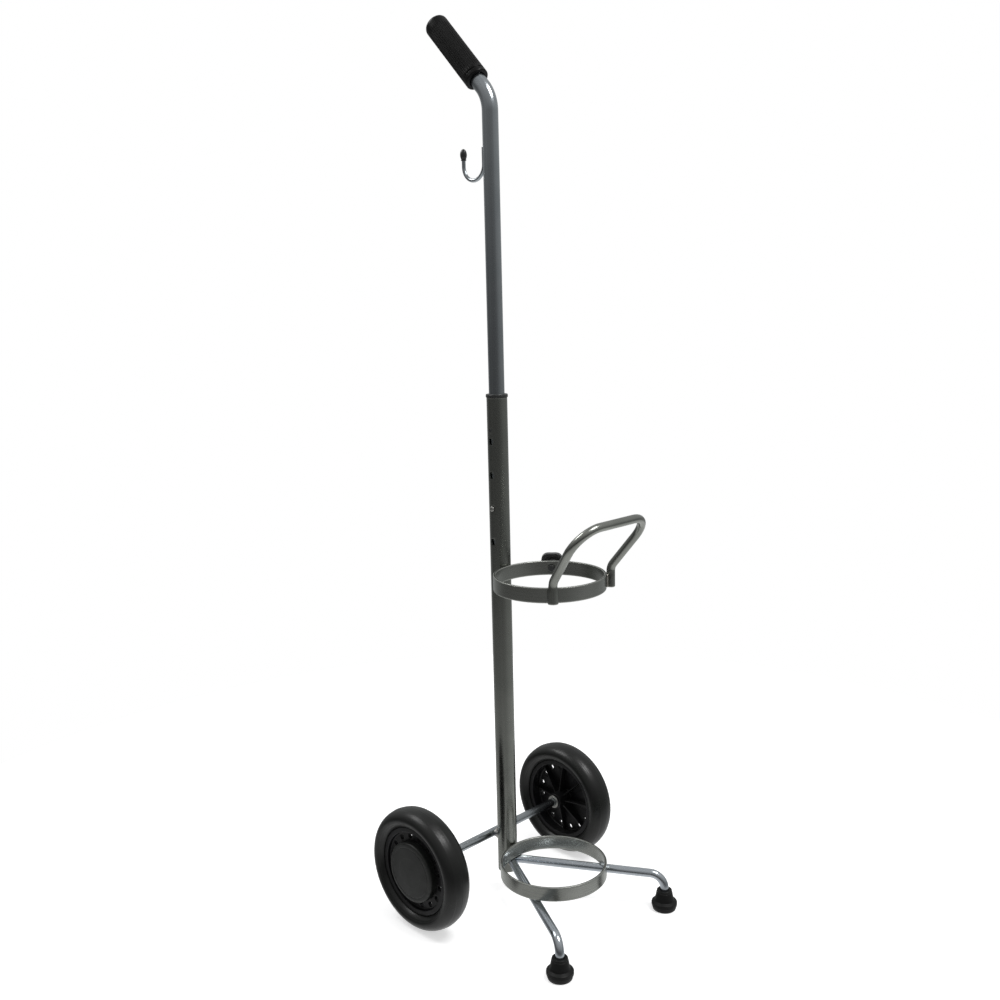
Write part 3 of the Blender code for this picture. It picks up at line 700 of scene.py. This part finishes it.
def build_button():
    """The snap button, a pin with a domed end that stands out through the tubes' holes."""
    low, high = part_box("snap_button")
    radius = (high.z - low.z) / 2
    length = high.x - low.x
    profile = [(0, length, 0.3)]
    for k in range(1, 13):
        t = QUARTER * k / 12
        profile.append((radius * sin(t), length - 1.3 * MM * (1 - cos(t)), 0.6))
    profile += [(radius, length - 2.4 * MM, 0.0), (radius, 0.2 * MM, 0.0), (radius - 0.2 * MM, 0, 0.5), (0, 0, 0.0)]
    spot = facing((high.x, middle("snap_button").y, BUTTON_Z), SIDE)
    turned("button_dome", "snap_button", "zinc", profile, 48, spot, loop=False)


def build_leaf_spring():
    """The bent strip behind the button."""
    low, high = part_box("button_spring")
    half_wide = (high.y - low.y) / 2
    half_thick = 0.3 * MM
    span = (high.x - low.x) / 2 - half_thick
    bend_z = low.z + half_thick + span
    rows = 28
    arm = [high.z + (bend_z - high.z) * k / rows for k in range(rows)]
    path = [((-span, z), (-1, 0)) for z in arm]
    for k in range(21):
        angle = pi * k / 20
        out = (-cos(angle), -sin(angle))
        path.append(((span * out[0], bend_z + span * out[1]), out))
    path += [((span, z), (1, 0)) for z in reversed(arm)]
    outline = rounded([
        (-half_wide, -half_thick, 0.12),
        (half_wide, -half_thick, 0.12),
        (half_wide, half_thick, 0.12),
        (-half_wide, half_thick, 0.12),
    ], steps=3, support=0.3 * MM)
    rings = []
    run = 0.0
    last = path[0][0]
    for (x, z), out in path:
        run += hypot(x - last[0], z - last[1])
        last = (x, z)
        rings.append([
            (at(x + out[0] * lift, y, z + out[1] * lift), (y, lift, run), worn) for y, lift, worn in outline
        ])
    leaf = skin("button_leaf_spring", rings)
    leaf.data.materials.append(LOOKS["spring_steel"])
    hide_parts("button_spring")
    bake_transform(leaf)


# ---- rings

BAND = 2.5 * MM
CLAMP_ANGLE = radians(40.0)
CLAMP_OUT = Vector((cos(CLAMP_ANGLE), sin(CLAMP_ANGLE), 0))


def ring_of(node):
    """A ring's centre on its mid height, its inner radius and its half height."""
    low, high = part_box(node)
    return middle(node), box_radius(node) - BAND, (high.z - low.z) / 2


def build_ring(node, with_hole):
    """A flat band that holds the cylinder. The upper one has a hole for the clamp screw."""
    centre, radius, half = ring_of(node)
    outline = rounded([
        (radius, half, 0.7),
        (radius, -half, 0.7),
        (radius + BAND, -half, 0.7),
        (radius + BAND, half, 0.7),
    ], steps=5, support=0.9 * MM)
    band = place(lathe(node + "_band", outline, 256), Matrix.Translation(centre))
    if with_hole:
        boolean(band, drill(3.4 * MM, 12 * MM, centre + CLAMP_OUT * radius, CLAMP_OUT))
        ease_edges(band, 0.25 * MM)
    finish_piece(band, node, "band_chrome")


def build_ring_weld(node, ring_node):
    """Weld metal that fills the corner between the pole and a ring, rippled along its height."""
    centre, radius, _ = ring_of(ring_node)
    ring_r = radius + BAND - SINK
    pole_r = OUTER_R - SINK
    ring_y = centre.y - POLE_Y
    low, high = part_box(node)
    rows, face_steps, side_steps = 72, 10, 5

    def on_pole(x):
        return -sqrt(pole_r**2 - x * x)

    def on_ring(x):
        return ring_y + sqrt(ring_r**2 - x * x)

    rings = []
    for k in range(rows + 1):
        z = low.z + (high.z - low.z) * k / rows
        end = min(z - low.z, high.z - z)
        width = 5.6 * MM * sqrt(max(0.04, 1 - (1 - min(1.0, end / (2.2 * MM))) ** 2))
        width += 0.35 * MM * (abs(sin(pi * (z - low.z) / (1.7 * MM))) - 0.5)
        ring = []
        for turn, wall, other in ((1, on_pole, on_ring), (-1, on_ring, on_pole)):
            for j in range(face_steps + 1):
                x = turn * (2 * width * j / face_steps - width)
                ring.append(at(x, wall(x), z))
            y_from, y_to = wall(width), other(width)
            for j in range(1, side_steps):
                t = j / side_steps
                x = turn * width * (1 - 0.22 * sin(pi * t))
                ring.append(at(x, y_from + (y_to - y_from) * t, z))
        rings.append([(point, point, 0.0) for point in ring])
    finish_piece(skin(node + "_bead", rings), node, "weld")


def build_bail():
    """The round-bar bail on the upper ring. Its feet are pressed a little flat and welded to the ring."""
    centre, radius, half = ring_of("upper_ring")
    bar_r = 4.5 * MM
    foot_r = radius + BAND + GAP + bar_r
    reach = foot_r * sin(radians(45))
    foot_y = centre.y - foot_r * cos(radians(45))
    foot_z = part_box("lift_bail")[0].z
    knee_z = 396.0 * MM
    corner = (57.4 * MM, POLE_Y - 162.8 * MM, 455.0 * MM)
    half_path = [Vector((reach, foot_y, foot_z)), Vector((reach, foot_y, knee_z)), Vector(corner)]
    mirrored = [Vector((-p.x, p.y, p.z)) for p in half_path]
    path = turned_path(mirrored + half_path[::-1], [14 * MM, 27 * MM, 27 * MM, 14 * MM], 14)
    total = sum((b - a).length for a, b in zip(path, path[1:]))

    def flattened(run):
        share = 1 - smoothstep(13 * MM, 19 * MM, min(run, total - run))
        return (1.0, 1.0 + 0.20 * share)

    outward = Vector((-1, -1, 0)).normalized()
    stations = []
    for a, b in zip(path, path[1:]):
        steps = max(1, round((b - a).length / (3 * MM)))
        stations += [a.lerp(b, k / steps) for k in range(steps)]
    stations.append(path[-1])
    bail = bar("bail_bar", stations, bar_r, 40, edge=0.6 * MM, side=outward, scale=flattened)
    finish_piece(bail, "lift_bail", "chrome")
    for side, sign in (("left", -1), ("right", 1)):
        out = Vector((sign, -1, 0)).normalized()
        across = Vector((-out.y, out.x, 0))
        for edge, turn in (("a", -1), ("b", 1)):
            foot = centre + out * (radius + BAND + 0.7 * MM) + across * (turn * 4.2 * MM)
            line = [foot + Vector((0, 0, -half + 0.6 * MM)), foot + Vector((0, 0, half - 0.6 * MM))]
            bead(f"bail_weld_{side}_{edge}", line, 1.3 * MM, "lift_bail")


# ---- clamp


def build_clamp():
    """The thumb screw through the upper ring: its weld nut, its swivelling pad, its threaded stud and its knob."""
    centre, radius, _ = ring_of("upper_ring")

    def on_screw(distance):
        return facing(centre + CLAMP_OUT * distance, CLAMP_OUT)

    stud_r = 2.9 * MM
    bore = stud_r + 0.35 * MM
    nut_r, nut_length = 5.77 * MM, 5.0 * MM
    nut_face_r = 4.3 * MM
    nut_start = radius + BAND + GAP
    flat_r = nut_r * cos(pi / 6)

    def hexagon(angle, r, z):
        if r < nut_face_r - 0.1 * MM:
            return r
        flat = flat_r / cos((angle % (TURN / 6)) - pi / 6)
        chamfer = flat_r + 0.02 * MM + min(z, nut_length - z) / tan(radians(30))
        return min(flat, chamfer) * r / nut_r

    side = [(0.12 * MM * k, 0.6 if k < 7 else 0.0) for k in range(9)]
    rows = [(bore + 0.5 * MM, nut_length, 0.3), (nut_face_r, nut_length, 0.0)]
    rows += [(nut_r, nut_length - z, worn) for z, worn in side]
    rows += [(nut_r, z, worn) for z, worn in reversed(side)]
    rows += [(nut_face_r, 0, 0.0), (bore + 0.5 * MM, 0, 0.3), (bore, 0.5 * MM, 0.3), (bore, nut_length - 0.5 * MM, 0.3)]
    turned("ring_nut", "clamp_nut", "zinc", rows, 120, on_screw(nut_start), shape=hexagon)
    seam_r = nut_r * 0.97
    foot = on_screw(nut_start + 0.2 * MM)
    around = [foot @ Vector((seam_r * cos(TURN * k / 48), seam_r * sin(TURN * k / 48), 0)) for k in range(48)]
    bead("nut_weld", around, 0.9 * MM, "clamp_nut", closed=True, pitch=1.5 * MM)

    pad_length, pad_r, pad_floor = 3.2 * MM, 3.6 * MM, 1.0 * MM
    tip_r = stud_r * 0.62
    profile = rounded([
        (0, pad_floor),
        (tip_r + GAP, pad_floor, 0.2),
        (tip_r + GAP, pad_length, 0.2),
        (pad_r, pad_length, 0.4),
        (pad_r, 0, 0.5),
        (0, 0),
    ], loop=False)
    pad_start = radius - GAP - pad_length
    turned("swivel_pad", "clamp_pad", "black_plastic", profile, 48, on_screw(pad_start), loop=False)

    travel = 8.0 * MM
    knob_start = nut_start + nut_length + travel + 0.8 * MM
    knob_length, knob_r, socket_depth = 9.5 * MM, 13.0 * MM, 3.0 * MM
    tip_start = pad_start + pad_floor + GAP
    tip_length = radius - tip_start
    length = knob_start + knob_length - socket_depth - tip_start
    pitch, depth = 1.0 * MM, 0.42 * MM
    run_in = tip_length + 1.2 * MM

    def threaded(angle, r, z):
        if r < stud_r - 0.01 * MM or z < run_in:
            return r
        wave = abs(((z / pitch - angle / TURN) % 1.0) - 0.5) * 2
        return r - depth * smoothstep(run_in, run_in + 1.2 * MM, z) * (1 - smoothstep(0.12, 0.88, wave))

    stud = [(0, 0, 0.0), (tip_r - 0.2 * MM, 0, 0.6), (tip_r, 0.2 * MM, 0.6), (tip_r, tip_length, 0.0)]
    stud += [(stud_r - 0.3 * MM, tip_length, 0.5), (stud_r, tip_length + 0.3 * MM, 0.5)]
    z = tip_length + 1.0 * MM
    while z < length - 0.5 * MM:
        stud.append((stud_r, z, 0.1))
        z += pitch / 9
    stud += [(stud_r, length - 0.3 * MM, 0.3), (stud_r - 0.3 * MM, length, 0.5), (0, length, 0.0)]
    turned("threaded_stud", "clamp_screw", "zinc", stud, 48, on_screw(tip_start), loop=False, shape=threaded)

    lobes, lobe = 4, 1.0 * MM

    def lobed(angle, r, _):
        share = smoothstep(6.5 * MM, 10.0 * MM, r)
        return r * (1 - lobe / knob_r * cos(lobes * angle) * share)

    dish = knob_length - 0.6 * MM
    socket = knob_length - socket_depth + GAP
    body = rounded([
        (0, socket),
        (stud_r + GAP, socket),
        (stud_r + GAP, 0, 0.2),
        (5.6 * MM, 0, 0.5),
        (6.0 * MM, 3.0 * MM, 0.4),
        (9.2 * MM, 3.0 * MM, 0.5),
        (9.6 * MM, 0.4 * MM, 0.3),
        (knob_r, 0.4 * MM, 0.7),
        (knob_r, knob_length, 1.6),
        (8.6 * MM, knob_length, 0.5),
        (8.0 * MM, dish, 0.5),
        (0, dish),
    ], loop=False, steps=5)
    turned("lobed_knob", "clamp_knob", "black_plastic", body, lobes * 36, on_screw(knob_start), loop=False, shape=lobed)


# ---- axle, wheels

AXLE = middle("axle")
ROD_R = 4.75 * MM


def build_axle():
    """The axle, and the weld metal that holds it to the back of the pole."""
    low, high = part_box("axle")
    path = [(x, AXLE.y, AXLE.z) for x in (low.x, -0.06, 0.06, high.x)]
    finish_piece(bar("axle_rod", path, ROD_R, 64, edge=0.6 * MM), "axle", "bright_chrome")

    axle_y = AXLE.y - POLE_Y
    pole_r, rod_r = OUTER_R - SINK, ROD_R - SINK
    reach = 8.9 * MM
    rows, steps = 60, 8
    rings = []
    for k in range(rows + 1):
        x = -reach + 2 * reach * k / rows
        share = sqrt(max(0.03, 1 - (x / reach) ** 2))
        half = 6.2 * MM * share**0.6 + 0.3 * MM * (abs(sin(pi * x / (1.8 * MM))) - 0.5)
        hold = asin(min(0.95, half * 0.72 / ROD_R))
        y_pole = sqrt(pole_r**2 - x * x)
        pole_side = [(y_pole, -half + 2 * half * j / steps) for j in range(steps + 1)]
        angles = [pi - hold + 2 * hold * j / steps for j in range(steps + 1)]
        rod_side = [(axle_y + rod_r * cos(angle), rod_r * sin(angle)) for angle in angles]

        def hollow(a, b, sign):
            """The weld's free face between two points."""
            made = []
            for t in (0.2, 0.4, 0.6, 0.8):
                dip = 0.9 * MM * sin(pi * t) * share
                made.append((a[0] + (b[0] - a[0]) * t, a[1] + (b[1] - a[1]) * t + sign * dip))
            return made

        ring = pole_side + hollow(pole_side[-1], rod_side[0], -1) + rod_side + hollow(rod_side[-1], pole_side[0], 1)
        points = [at(x, y, AXLE.z + z) for y, z in ring]
        rings.append([(point, point, 0.0) for point in points])
    finish_piece(skin("axle_weld_bead", rings), "axle_weld", "weld")


TYRE_SEAT = 49.5 * MM
TYRE_MID = 57.5 * MM
TYRE_DEPTH = 10.5 * MM
TYRE_HALF = 16.0 * MM
WEB_Z = 2.3 * MM
WEB = 4.0 * MM
RIM_INNER = 43.0 * MM
RIM_HALF = 9.5 * MM
SLEEVE_R = 10.0 * MM
HUB_BORE = 5.05 * MM
HUB_HOLES = 16
HUB_RIBS = 8
HOLE_RING = 38.5 * MM
HUB_HOLE_R = 3.15 * MM
CAP_R = 33.5 * MM
CAP_FACE = 16.0 * MM


def tyre_outline():
    """The tyre's section: a round bead that runs in to the rim, a fine groove on each side and a moulding line."""
    points = []
    seat_turn = acos((TYRE_SEAT - TYRE_MID) / TYRE_DEPTH) - radians(1.5)
    count = 132
    for i in range(count + 1):
        angle = seat_turn - 2 * seat_turn * i / count
        r = TYRE_MID + TYRE_DEPTH * cos(angle)
        z = TYRE_HALF * sin(angle)
        groove = exp(-(((r - TYRE_SEAT - 4.2 * MM) / (0.45 * MM)) ** 2)) * 0.30 * MM
        z -= copysign(groove, z)
        ridge = exp(-((z / (0.35 * MM)) ** 2))
        r -= 0.16 * MM * (1 - ridge) * (1 if abs(z) < TYRE_HALF * 0.5 else 0)
        points.append((r, z, 0.35 if abs(z) < 0.6 * MM else 0.0))
    edge = points[0][1]
    points += [(TYRE_SEAT, -edge + 0.35 * MM, 0.6), (TYRE_SEAT, edge - 0.35 * MM, 0.6)]
    return points


def hub_outline():
    """The hub's section: the rim under the tyre, the web and the sleeve on the axle."""
    rim_r = TYRE_SEAT - GAP
    rim_out = RIM_HALF + 0.6 * MM
    sleeve_out, sleeve_in = 9.8 * MM, -17.5 * MM
    web_out = WEB_Z + WEB
    return rounded([
        (RIM_INNER + 0.6 * MM, rim_out, 0.8),
        (rim_r, rim_out, 1.0),
        (rim_r, -RIM_HALF, 0.8),
        (RIM_INNER + 1.0 * MM, -RIM_HALF, 0.6),
        (RIM_INNER, WEB_Z, 1.5),
        (SLEEVE_R, WEB_Z, 1.5),
        (SLEEVE_R - 1.0 * MM, sleeve_in, 0.6),
        (HUB_BORE, sleeve_in, 0.4),
        (HUB_BORE, sleeve_out, 0.4),
        (SLEEVE_R - 1.0 * MM, sleeve_out, 0.5),
        (SLEEVE_R, web_out, 0.5),
        (RIM_INNER, web_out, 1.0),
    ])


def cap_outline():
    """The hub cap's section: a slightly domed face with a shallow ring groove, and a thin skirt."""
    base = WEB_Z + WEB + GAP
    face = CAP_FACE - 0.8 * MM
    return rounded([
        (0, CAP_FACE),
        (CAP_R * 0.50, CAP_FACE - 0.2 * MM, 12),
        (CAP_R - 6.0 * MM, CAP_FACE - 0.50 * MM, 0.4),
        (CAP_R - 5.7 * MM, CAP_FACE - 0.85 * MM, 0.25),
        (CAP_R - 5.2 * MM, CAP_FACE - 0.85 * MM, 0.25),
        (CAP_R - 4.9 * MM, CAP_FACE - 0.60 * MM, 0.4),
        (CAP_R, face + 0.1 * MM, 3.2),
        (CAP_R, base, 0.3),
        (CAP_R - 1.5 * MM, base, 0.3),
        (CAP_R - 1.5 * MM, face - 2.2 * MM, 1.6),
        (0, face - 1.6 * MM),
    ], loop=False, steps=6)


def push_nut_outline():
    """The section of a push nut with a closed, stepped crown."""
    return rounded([
        (0, 2.9 * MM),
        (4.2 * MM, 2.7 * MM, 1.2),
        (6.2 * MM, 1.3 * MM, 0.5),
        (6.4 * MM, 0.7 * MM, 0.3),
        (8.5 * MM, 0.6 * MM, 0.2),
        (8.5 * MM, 0, 0.2),
        (HUB_BORE, 0, 0.2),
        (HUB_BORE, 1.8 * MM),
        (0, 1.8 * MM),
    ], loop=False)


def slab(inner, outer, width, low_in, low_out, high, matrix):
    """A moulded rib from one radius to another: thinner towards its lower edge, which can slope."""
    form = bmesh.new()
    inner_end, outer_end = [], []
    for x, low, end in ((inner, low_in, inner_end), (outer, low_out, outer_end)):
        for side in (-1, 1):
            end.append(form.verts.new((x, side * width * 0.34, low)))
            end.append(form.verts.new((x, side * width * 0.5, high)))
    for a, b, c, d in (inner_end, outer_end):
        form.faces.new([a, c, d, b])
    for i, j in ((0, 1), (2, 3), (0, 2), (1, 3)):
        form.faces.new([inner_end[i], outer_end[i], outer_end[j], inner_end[j]])
    bmesh.ops.recalc_face_normals(form, faces=form.faces)
    form.transform(matrix)
    mesh = bpy.data.meshes.new("slab")
    form.to_mesh(mesh)
    form.free()
    return mesh


def gathered(meshes, name):
    """Several separate meshes as one object."""
    form = bmesh.new()
    for mesh in meshes:
        form.from_mesh(mesh)
        bpy.data.meshes.remove(mesh)
    mesh = bpy.data.meshes.new(name)
    form.to_mesh(mesh)
    form.free()
    return added(name, mesh)


def build_wheel(side, sign):
    """A wheel, its washer on the inner side and the push nut on the axle's end, under the hub cap."""
    centre = Vector((middle(f"{side}_tyre").x, AXLE.y, AXLE.z))
    outward = Matrix.Translation(centre) @ Matrix.Rotation(sign * QUARTER, 4, "Y")

    tyre = lathe(f"{side}_tyre_body", tyre_outline(), 192)
    tyre.matrix_world = outward
    finish_piece(tyre, f"{side}_tyre", "tyre")

    hub = lathe(f"{side}_hub_body", hub_outline(), 192)
    rib = (SLEEVE_R - 1.8 * MM, RIM_INNER + 1.0 * MM, 1.8 * MM, -9.0 * MM, WEB_Z - 3.0 * MM, WEB_Z + 1.0 * MM)
    ribs = [slab(*rib, Matrix.Rotation(TURN * i / HUB_RIBS, 4, "Z")) for i in range(HUB_RIBS)]
    boolean(hub, gathered(ribs, "ribs"), "UNION")
    holes = []
    for i in range(HUB_HOLES):
        angle = TURN * (i + 0.5) / HUB_HOLES
        spot = (HOLE_RING * cos(angle), HOLE_RING * sin(angle), WEB_Z)
        cutter = drill(HUB_HOLE_R, 20 * MM, spot, (0, 0, 1), 24)
        mesh = cutter.data.copy()
        mesh.transform(cutter.matrix_world)
        bpy.data.objects.remove(cutter, do_unlink=True)
        holes.append(mesh)
    boolean(hub, gathered(holes, "holes"))
    ease_edges(hub, 0.3 * MM, segments=2)
    hub.matrix_world = outward
    finish_piece(hub, f"{side}_hub", "hub_plastic")

    cap = lathe(f"{side}_cap_disc", cap_outline(), 192, loop=False)
    cap.matrix_world = outward
    finish_piece(cap, f"{side}_hub_cap", "cap_plastic")

    node = f"{side}_axle_washer"
    low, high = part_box(node)
    radius, half = (high.y - low.y) / 2, (high.x - low.x) / 2
    outline = rounded([
        (HUB_BORE, half, 0.3),
        (HUB_BORE, -half, 0.3),
        (radius, -half, 0.5),
        (radius, half, 0.5),
    ], support=0.5 * MM)
    turned(f"{side}_washer_disc", node, "zinc", outline, 72, facing(middle(node), (1, 0, 0)))

    node = f"{side}_push_nut"
    low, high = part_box(node)
    start = (low.x if sign > 0 else high.x, AXLE.y, AXLE.z)
    turned(f"{side}_axle_cap", node, "zinc", push_nut_outline(), 72, facing(start, (sign, 0, 0)), loop=False)


# ---- legs, feet


def build_leg(side, sign):
    """A leg, cut to fit the pole and mitred against the other leg, its weld, and its rubber foot."""
    foot = middle(f"{side}_foot")
    low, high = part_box(f"{side}_leg")
    leg_z = high.z - ROD_R
    root = at(0, -3.0 * MM, leg_z)
    corner = Vector((foot.x, foot.y, leg_z))
    path = turned_path([root, corner, Vector((foot.x, foot.y, low.z))], [16 * MM], 20)
    leg = bar(f"{side}_leg_rod", path, ROD_R, 56, edge=0.5 * MM)
    boolean(leg, drill(OUTER_R + SINK, 40 * MM, at(0, 0, leg_z), (0, 0, 1), 96))
    half_gap, reach = 0.1 * MM, 60 * MM
    keep_side = Matrix.Translation((0, root.y, 0)) @ Matrix.Rotation(pi if sign > 0 else 0, 4, "Z")
    block = slab(-half_gap, reach, 180 * MM, leg_z - 20 * MM, leg_z - 20 * MM, leg_z + 20 * MM, keep_side)
    for vert in block.vertices:
        vert.co.x = -sign * reach if abs(vert.co.x) > reach / 2 else sign * half_gap
    boolean(leg, gathered([block], "mitre"))
    # the legs get the lighter copy of bright_chrome, whose colour holds a painted reflection of the floor
    finish_piece(leg, f"{side}_leg", "leg_chrome_painted_floor_reflection")

    along = (corner - root).normalized()
    across = Vector((-along.y, along.x, 0))
    near = 0.4 * MM
    seam = []
    for k in range(60):
        angle = TURN * k / 60
        start = root + across * (ROD_R * cos(angle)) + Vector((0, 0, ROD_R * sin(angle)))
        out = start - at(0, 0, 0)
        a = along.x**2 + along.y**2
        b = 2 * (out.x * along.x + out.y * along.y)
        c = out.x**2 + out.y**2 - (OUTER_R + 0.3 * MM) ** 2
        seam.append(start + along * ((-b + sqrt(b * b - 4 * a * c)) / (2 * a)))
    kept = [i for i, p in enumerate(seam) if p.x * sign > near]
    first = next(i for i in kept if seam[i - 1].x * sign <= near)
    ordered = [seam[(first + k) % len(seam)] for k in range(len(kept))]
    bead(f"{side}_leg_weld", ordered, 1.2 * MM, f"{side}_leg")

    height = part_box(f"{side}_foot")[1].z
    flange = box_radius(f"{side}_foot")
    bore = ROD_R + GAP
    outline = rounded([
        (0, 6.0 * MM),
        (bore, 6.0 * MM),
        (bore, height, 0.5),
        (8.4 * MM, height, 0.9),
        (8.4 * MM, height - 2.4 * MM, 0.3),
        (8.8 * MM, height - 2.7 * MM, 0.3),
        (10.7 * MM, 10.6 * MM, 1.0),
        (flange, 9.0 * MM, 1.2),
        (flange, 5.2 * MM, 0.4),
        (flange - 0.5 * MM, 4.8 * MM, 0.3),
        (flange - 0.4 * MM, 4.0 * MM, 0.4),
        (12.6 * MM, 0, 1.0),
        (9.6 * MM, 0, 0.4),
        (9.2 * MM, 0.8 * MM, 0.3),
        (8.0 * MM, 0.8 * MM, 0.3),
        (7.6 * MM, 0, 0.4),
        (4.6 * MM, 0, 0.4),
        (4.2 * MM, 0.8 * MM, 0.3),
        (0, 0.8 * MM),
    ], loop=False, steps=5, support=0.5 * MM)
    spot = Matrix.Translation((foot.x, foot.y, 0))
    turned(f"{side}_foot_tip", f"{side}_foot", "rubber", outline, 96, spot, loop=False)


build_pole()
build_handle()
build_hook()
build_button()
build_leaf_spring()
build_ring("upper_ring", True)
build_ring("lower_ring", False)
build_ring_weld("upper_ring_weld", "upper_ring")
build_ring_weld("lower_ring_weld", "lower_ring")
build_bail()
build_clamp()
build_axle()
for side_name, direction in (("left", -1), ("right", 1)):
    build_wheel(side_name, direction)
    build_leg(side_name, direction)

# ---- camera and light


def build_camera():
    """The main camera."""
    data = bpy.data.cameras.new("camera")
    eye = added("camera", data)
    turn, tilt, roll = radians(-45.13), radians(11.06), radians(-1.37)
    back = Vector((sin(turn) * cos(tilt), -cos(turn) * cos(tilt), sin(tilt)))
    right = Vector((cos(turn), sin(turn), 0))
    up = back.cross(right)
    across = right * cos(roll) + up * sin(roll)
    upright = up * cos(roll) - right * sin(roll)
    basis = Matrix((across, upright, back)).transposed().to_4x4()
    eye.matrix_world = Matrix.Translation(at(-0.8323, -0.8283, 0.6721)) @ basis
    data.lens = 39.58
    data.sensor_width = 36.0
    data.shift_x = 0.0005
    data.shift_y = 0.016
    data.clip_start = 0.05
    data.clip_end = 60.0
    bpy.context.scene.camera = eye


def build_light(name, spot, power):
    """A square soft box that faces the cart."""
    data = bpy.data.lights.new(name, "AREA")
    data.shape = "RECTANGLE"
    data.size = data.size_y = 0.8
    data.energy = power
    added(name, data).matrix_world = facing(spot, Vector(spot) - Vector((0, 0, 0.2)))


def build_floor():
    """A pale round table top, lit from inside as a light table is, so that shadows on it stay faint."""
    form = bmesh.new()
    bmesh.ops.create_circle(form, cap_ends=True, segments=128, radius=0.9)
    mesh = bpy.data.meshes.new("floor")
    form.to_mesh(mesh)
    form.free()
    floor = added("floor", mesh)
    g = Look("floor")
    grain = g.noise(g.place, 6.0, detail=2.0)
    tone = g.mix(g.span(grain, 0.3, 0.7), (0.86, 0.86, 0.86), (0.84, 0.84, 0.845))
    rough = g.span(grain, 0.3, 0.7, 0.75, 0.85)
    glow = {"Emission_Color": (1.0, 1.0, 1.0, 1.0), "Emission_Strength": 0.55}
    look = g.finish(tone, rough, g.bump(grain, 0.02, 0.0005), Specular_IOR_Level=0.1, **glow)
    floor.data.materials.append(look)
    floor.visible_glossy = False


# the room's brightness from straight below (0) through level (0.5) to straight above (1)
ROOM_LEVELS = (
    (0.0, 0.75), (0.20, 0.64), (0.285, 0.48), (0.32, 0.24), (0.345, 0.125), (0.38, 0.08), (0.43, 0.07),
    (0.50, 0.11), (0.545, 0.17), (0.58, 0.23), (0.72, 0.34), (0.86, 0.44), (1.0, 0.50),
)
BEHIND = (0.709, 0.705, 0.0)
ON_THE_RIGHT = (0.705, -0.709, 0.0)


def build_world():
    """A white backdrop for the camera, and a dim room for the light.

    The room is brighter above, below, behind and on the right.
    """
    world = bpy.data.worlds.new("studio")
    world.use_nodes = True
    g = Graph(world.node_tree, "Generated")

    def facing_wall(direction, strength):
        """A soft bright patch around a direction."""
        along = g.node("VectorMath", ((0, g.place), (1, direction)), operation="DOT_PRODUCT").outputs["Value"]
        return g.math("MULTIPLY", g.math("POWER", g.math("MAXIMUM", along, 0.0), 2.0), strength)

    def background(colour, strength=1.0):
        return g.node("Background", (("Color", colour), ("Strength", strength))).outputs["Background"]

    height = g.node("SeparateXYZ", (("Vector", g.place),)).outputs["Z"]
    ramp = g.node("ValToRGB", (("Fac", g.math("MULTIPLY_ADD", height, 0.5, 0.5)),))
    stops = ramp.color_ramp.elements
    for stop, (position, shade) in zip(list(stops), (ROOM_LEVELS[0], ROOM_LEVELS[-1])):
        stop.position, stop.color = position, (shade, shade, shade, 1.0)
    for position, shade in ROOM_LEVELS[1:-1]:
        stops.new(position).color = (shade, shade, shade, 1.0)
    cloud = g.noise(g.place, 1.7, detail=2.0, rough=0.5)
    room = background(ramp.outputs["Color"], g.math("MULTIPLY_ADD", cloud, 0.6, 0.7))

    depth = g.math("MAXIMUM", g.math("MULTIPLY_ADD", height, -1.0, -0.1), 0.0)
    walls = g.math("ADD", facing_wall(BEHIND, 0.26), facing_wall(ON_THE_RIGHT, 0.16))
    walls = g.math("MULTIPLY", walls, g.math("MULTIPLY_ADD", depth, 1.2, 1.0))
    lit = g.node("AddShader", ((0, room), (1, background((0.97, 1.0, 1.0, 1.0), walls)))).outputs["Shader"]
    seen = g.node("LightPath").outputs["Is Camera Ray"]
    choose = g.node("MixShader", (("Fac", seen), (1, lit), (2, background((1.0, 1.0, 1.0, 1.0)))))
    g.tree.links.new(choose.outputs["Shader"], g.tree.nodes["World Output"].inputs["Surface"])
    bpy.context.scene.world = world


build_camera()
build_floor()
build_world()
build_light("key_softbox", (0.27, -1.04, 2.25), 24)
build_light("rear_softbox", (-0.60, 1.10, 1.95), 12)
bpy.context.scene.view_settings.view_transform = "Standard"
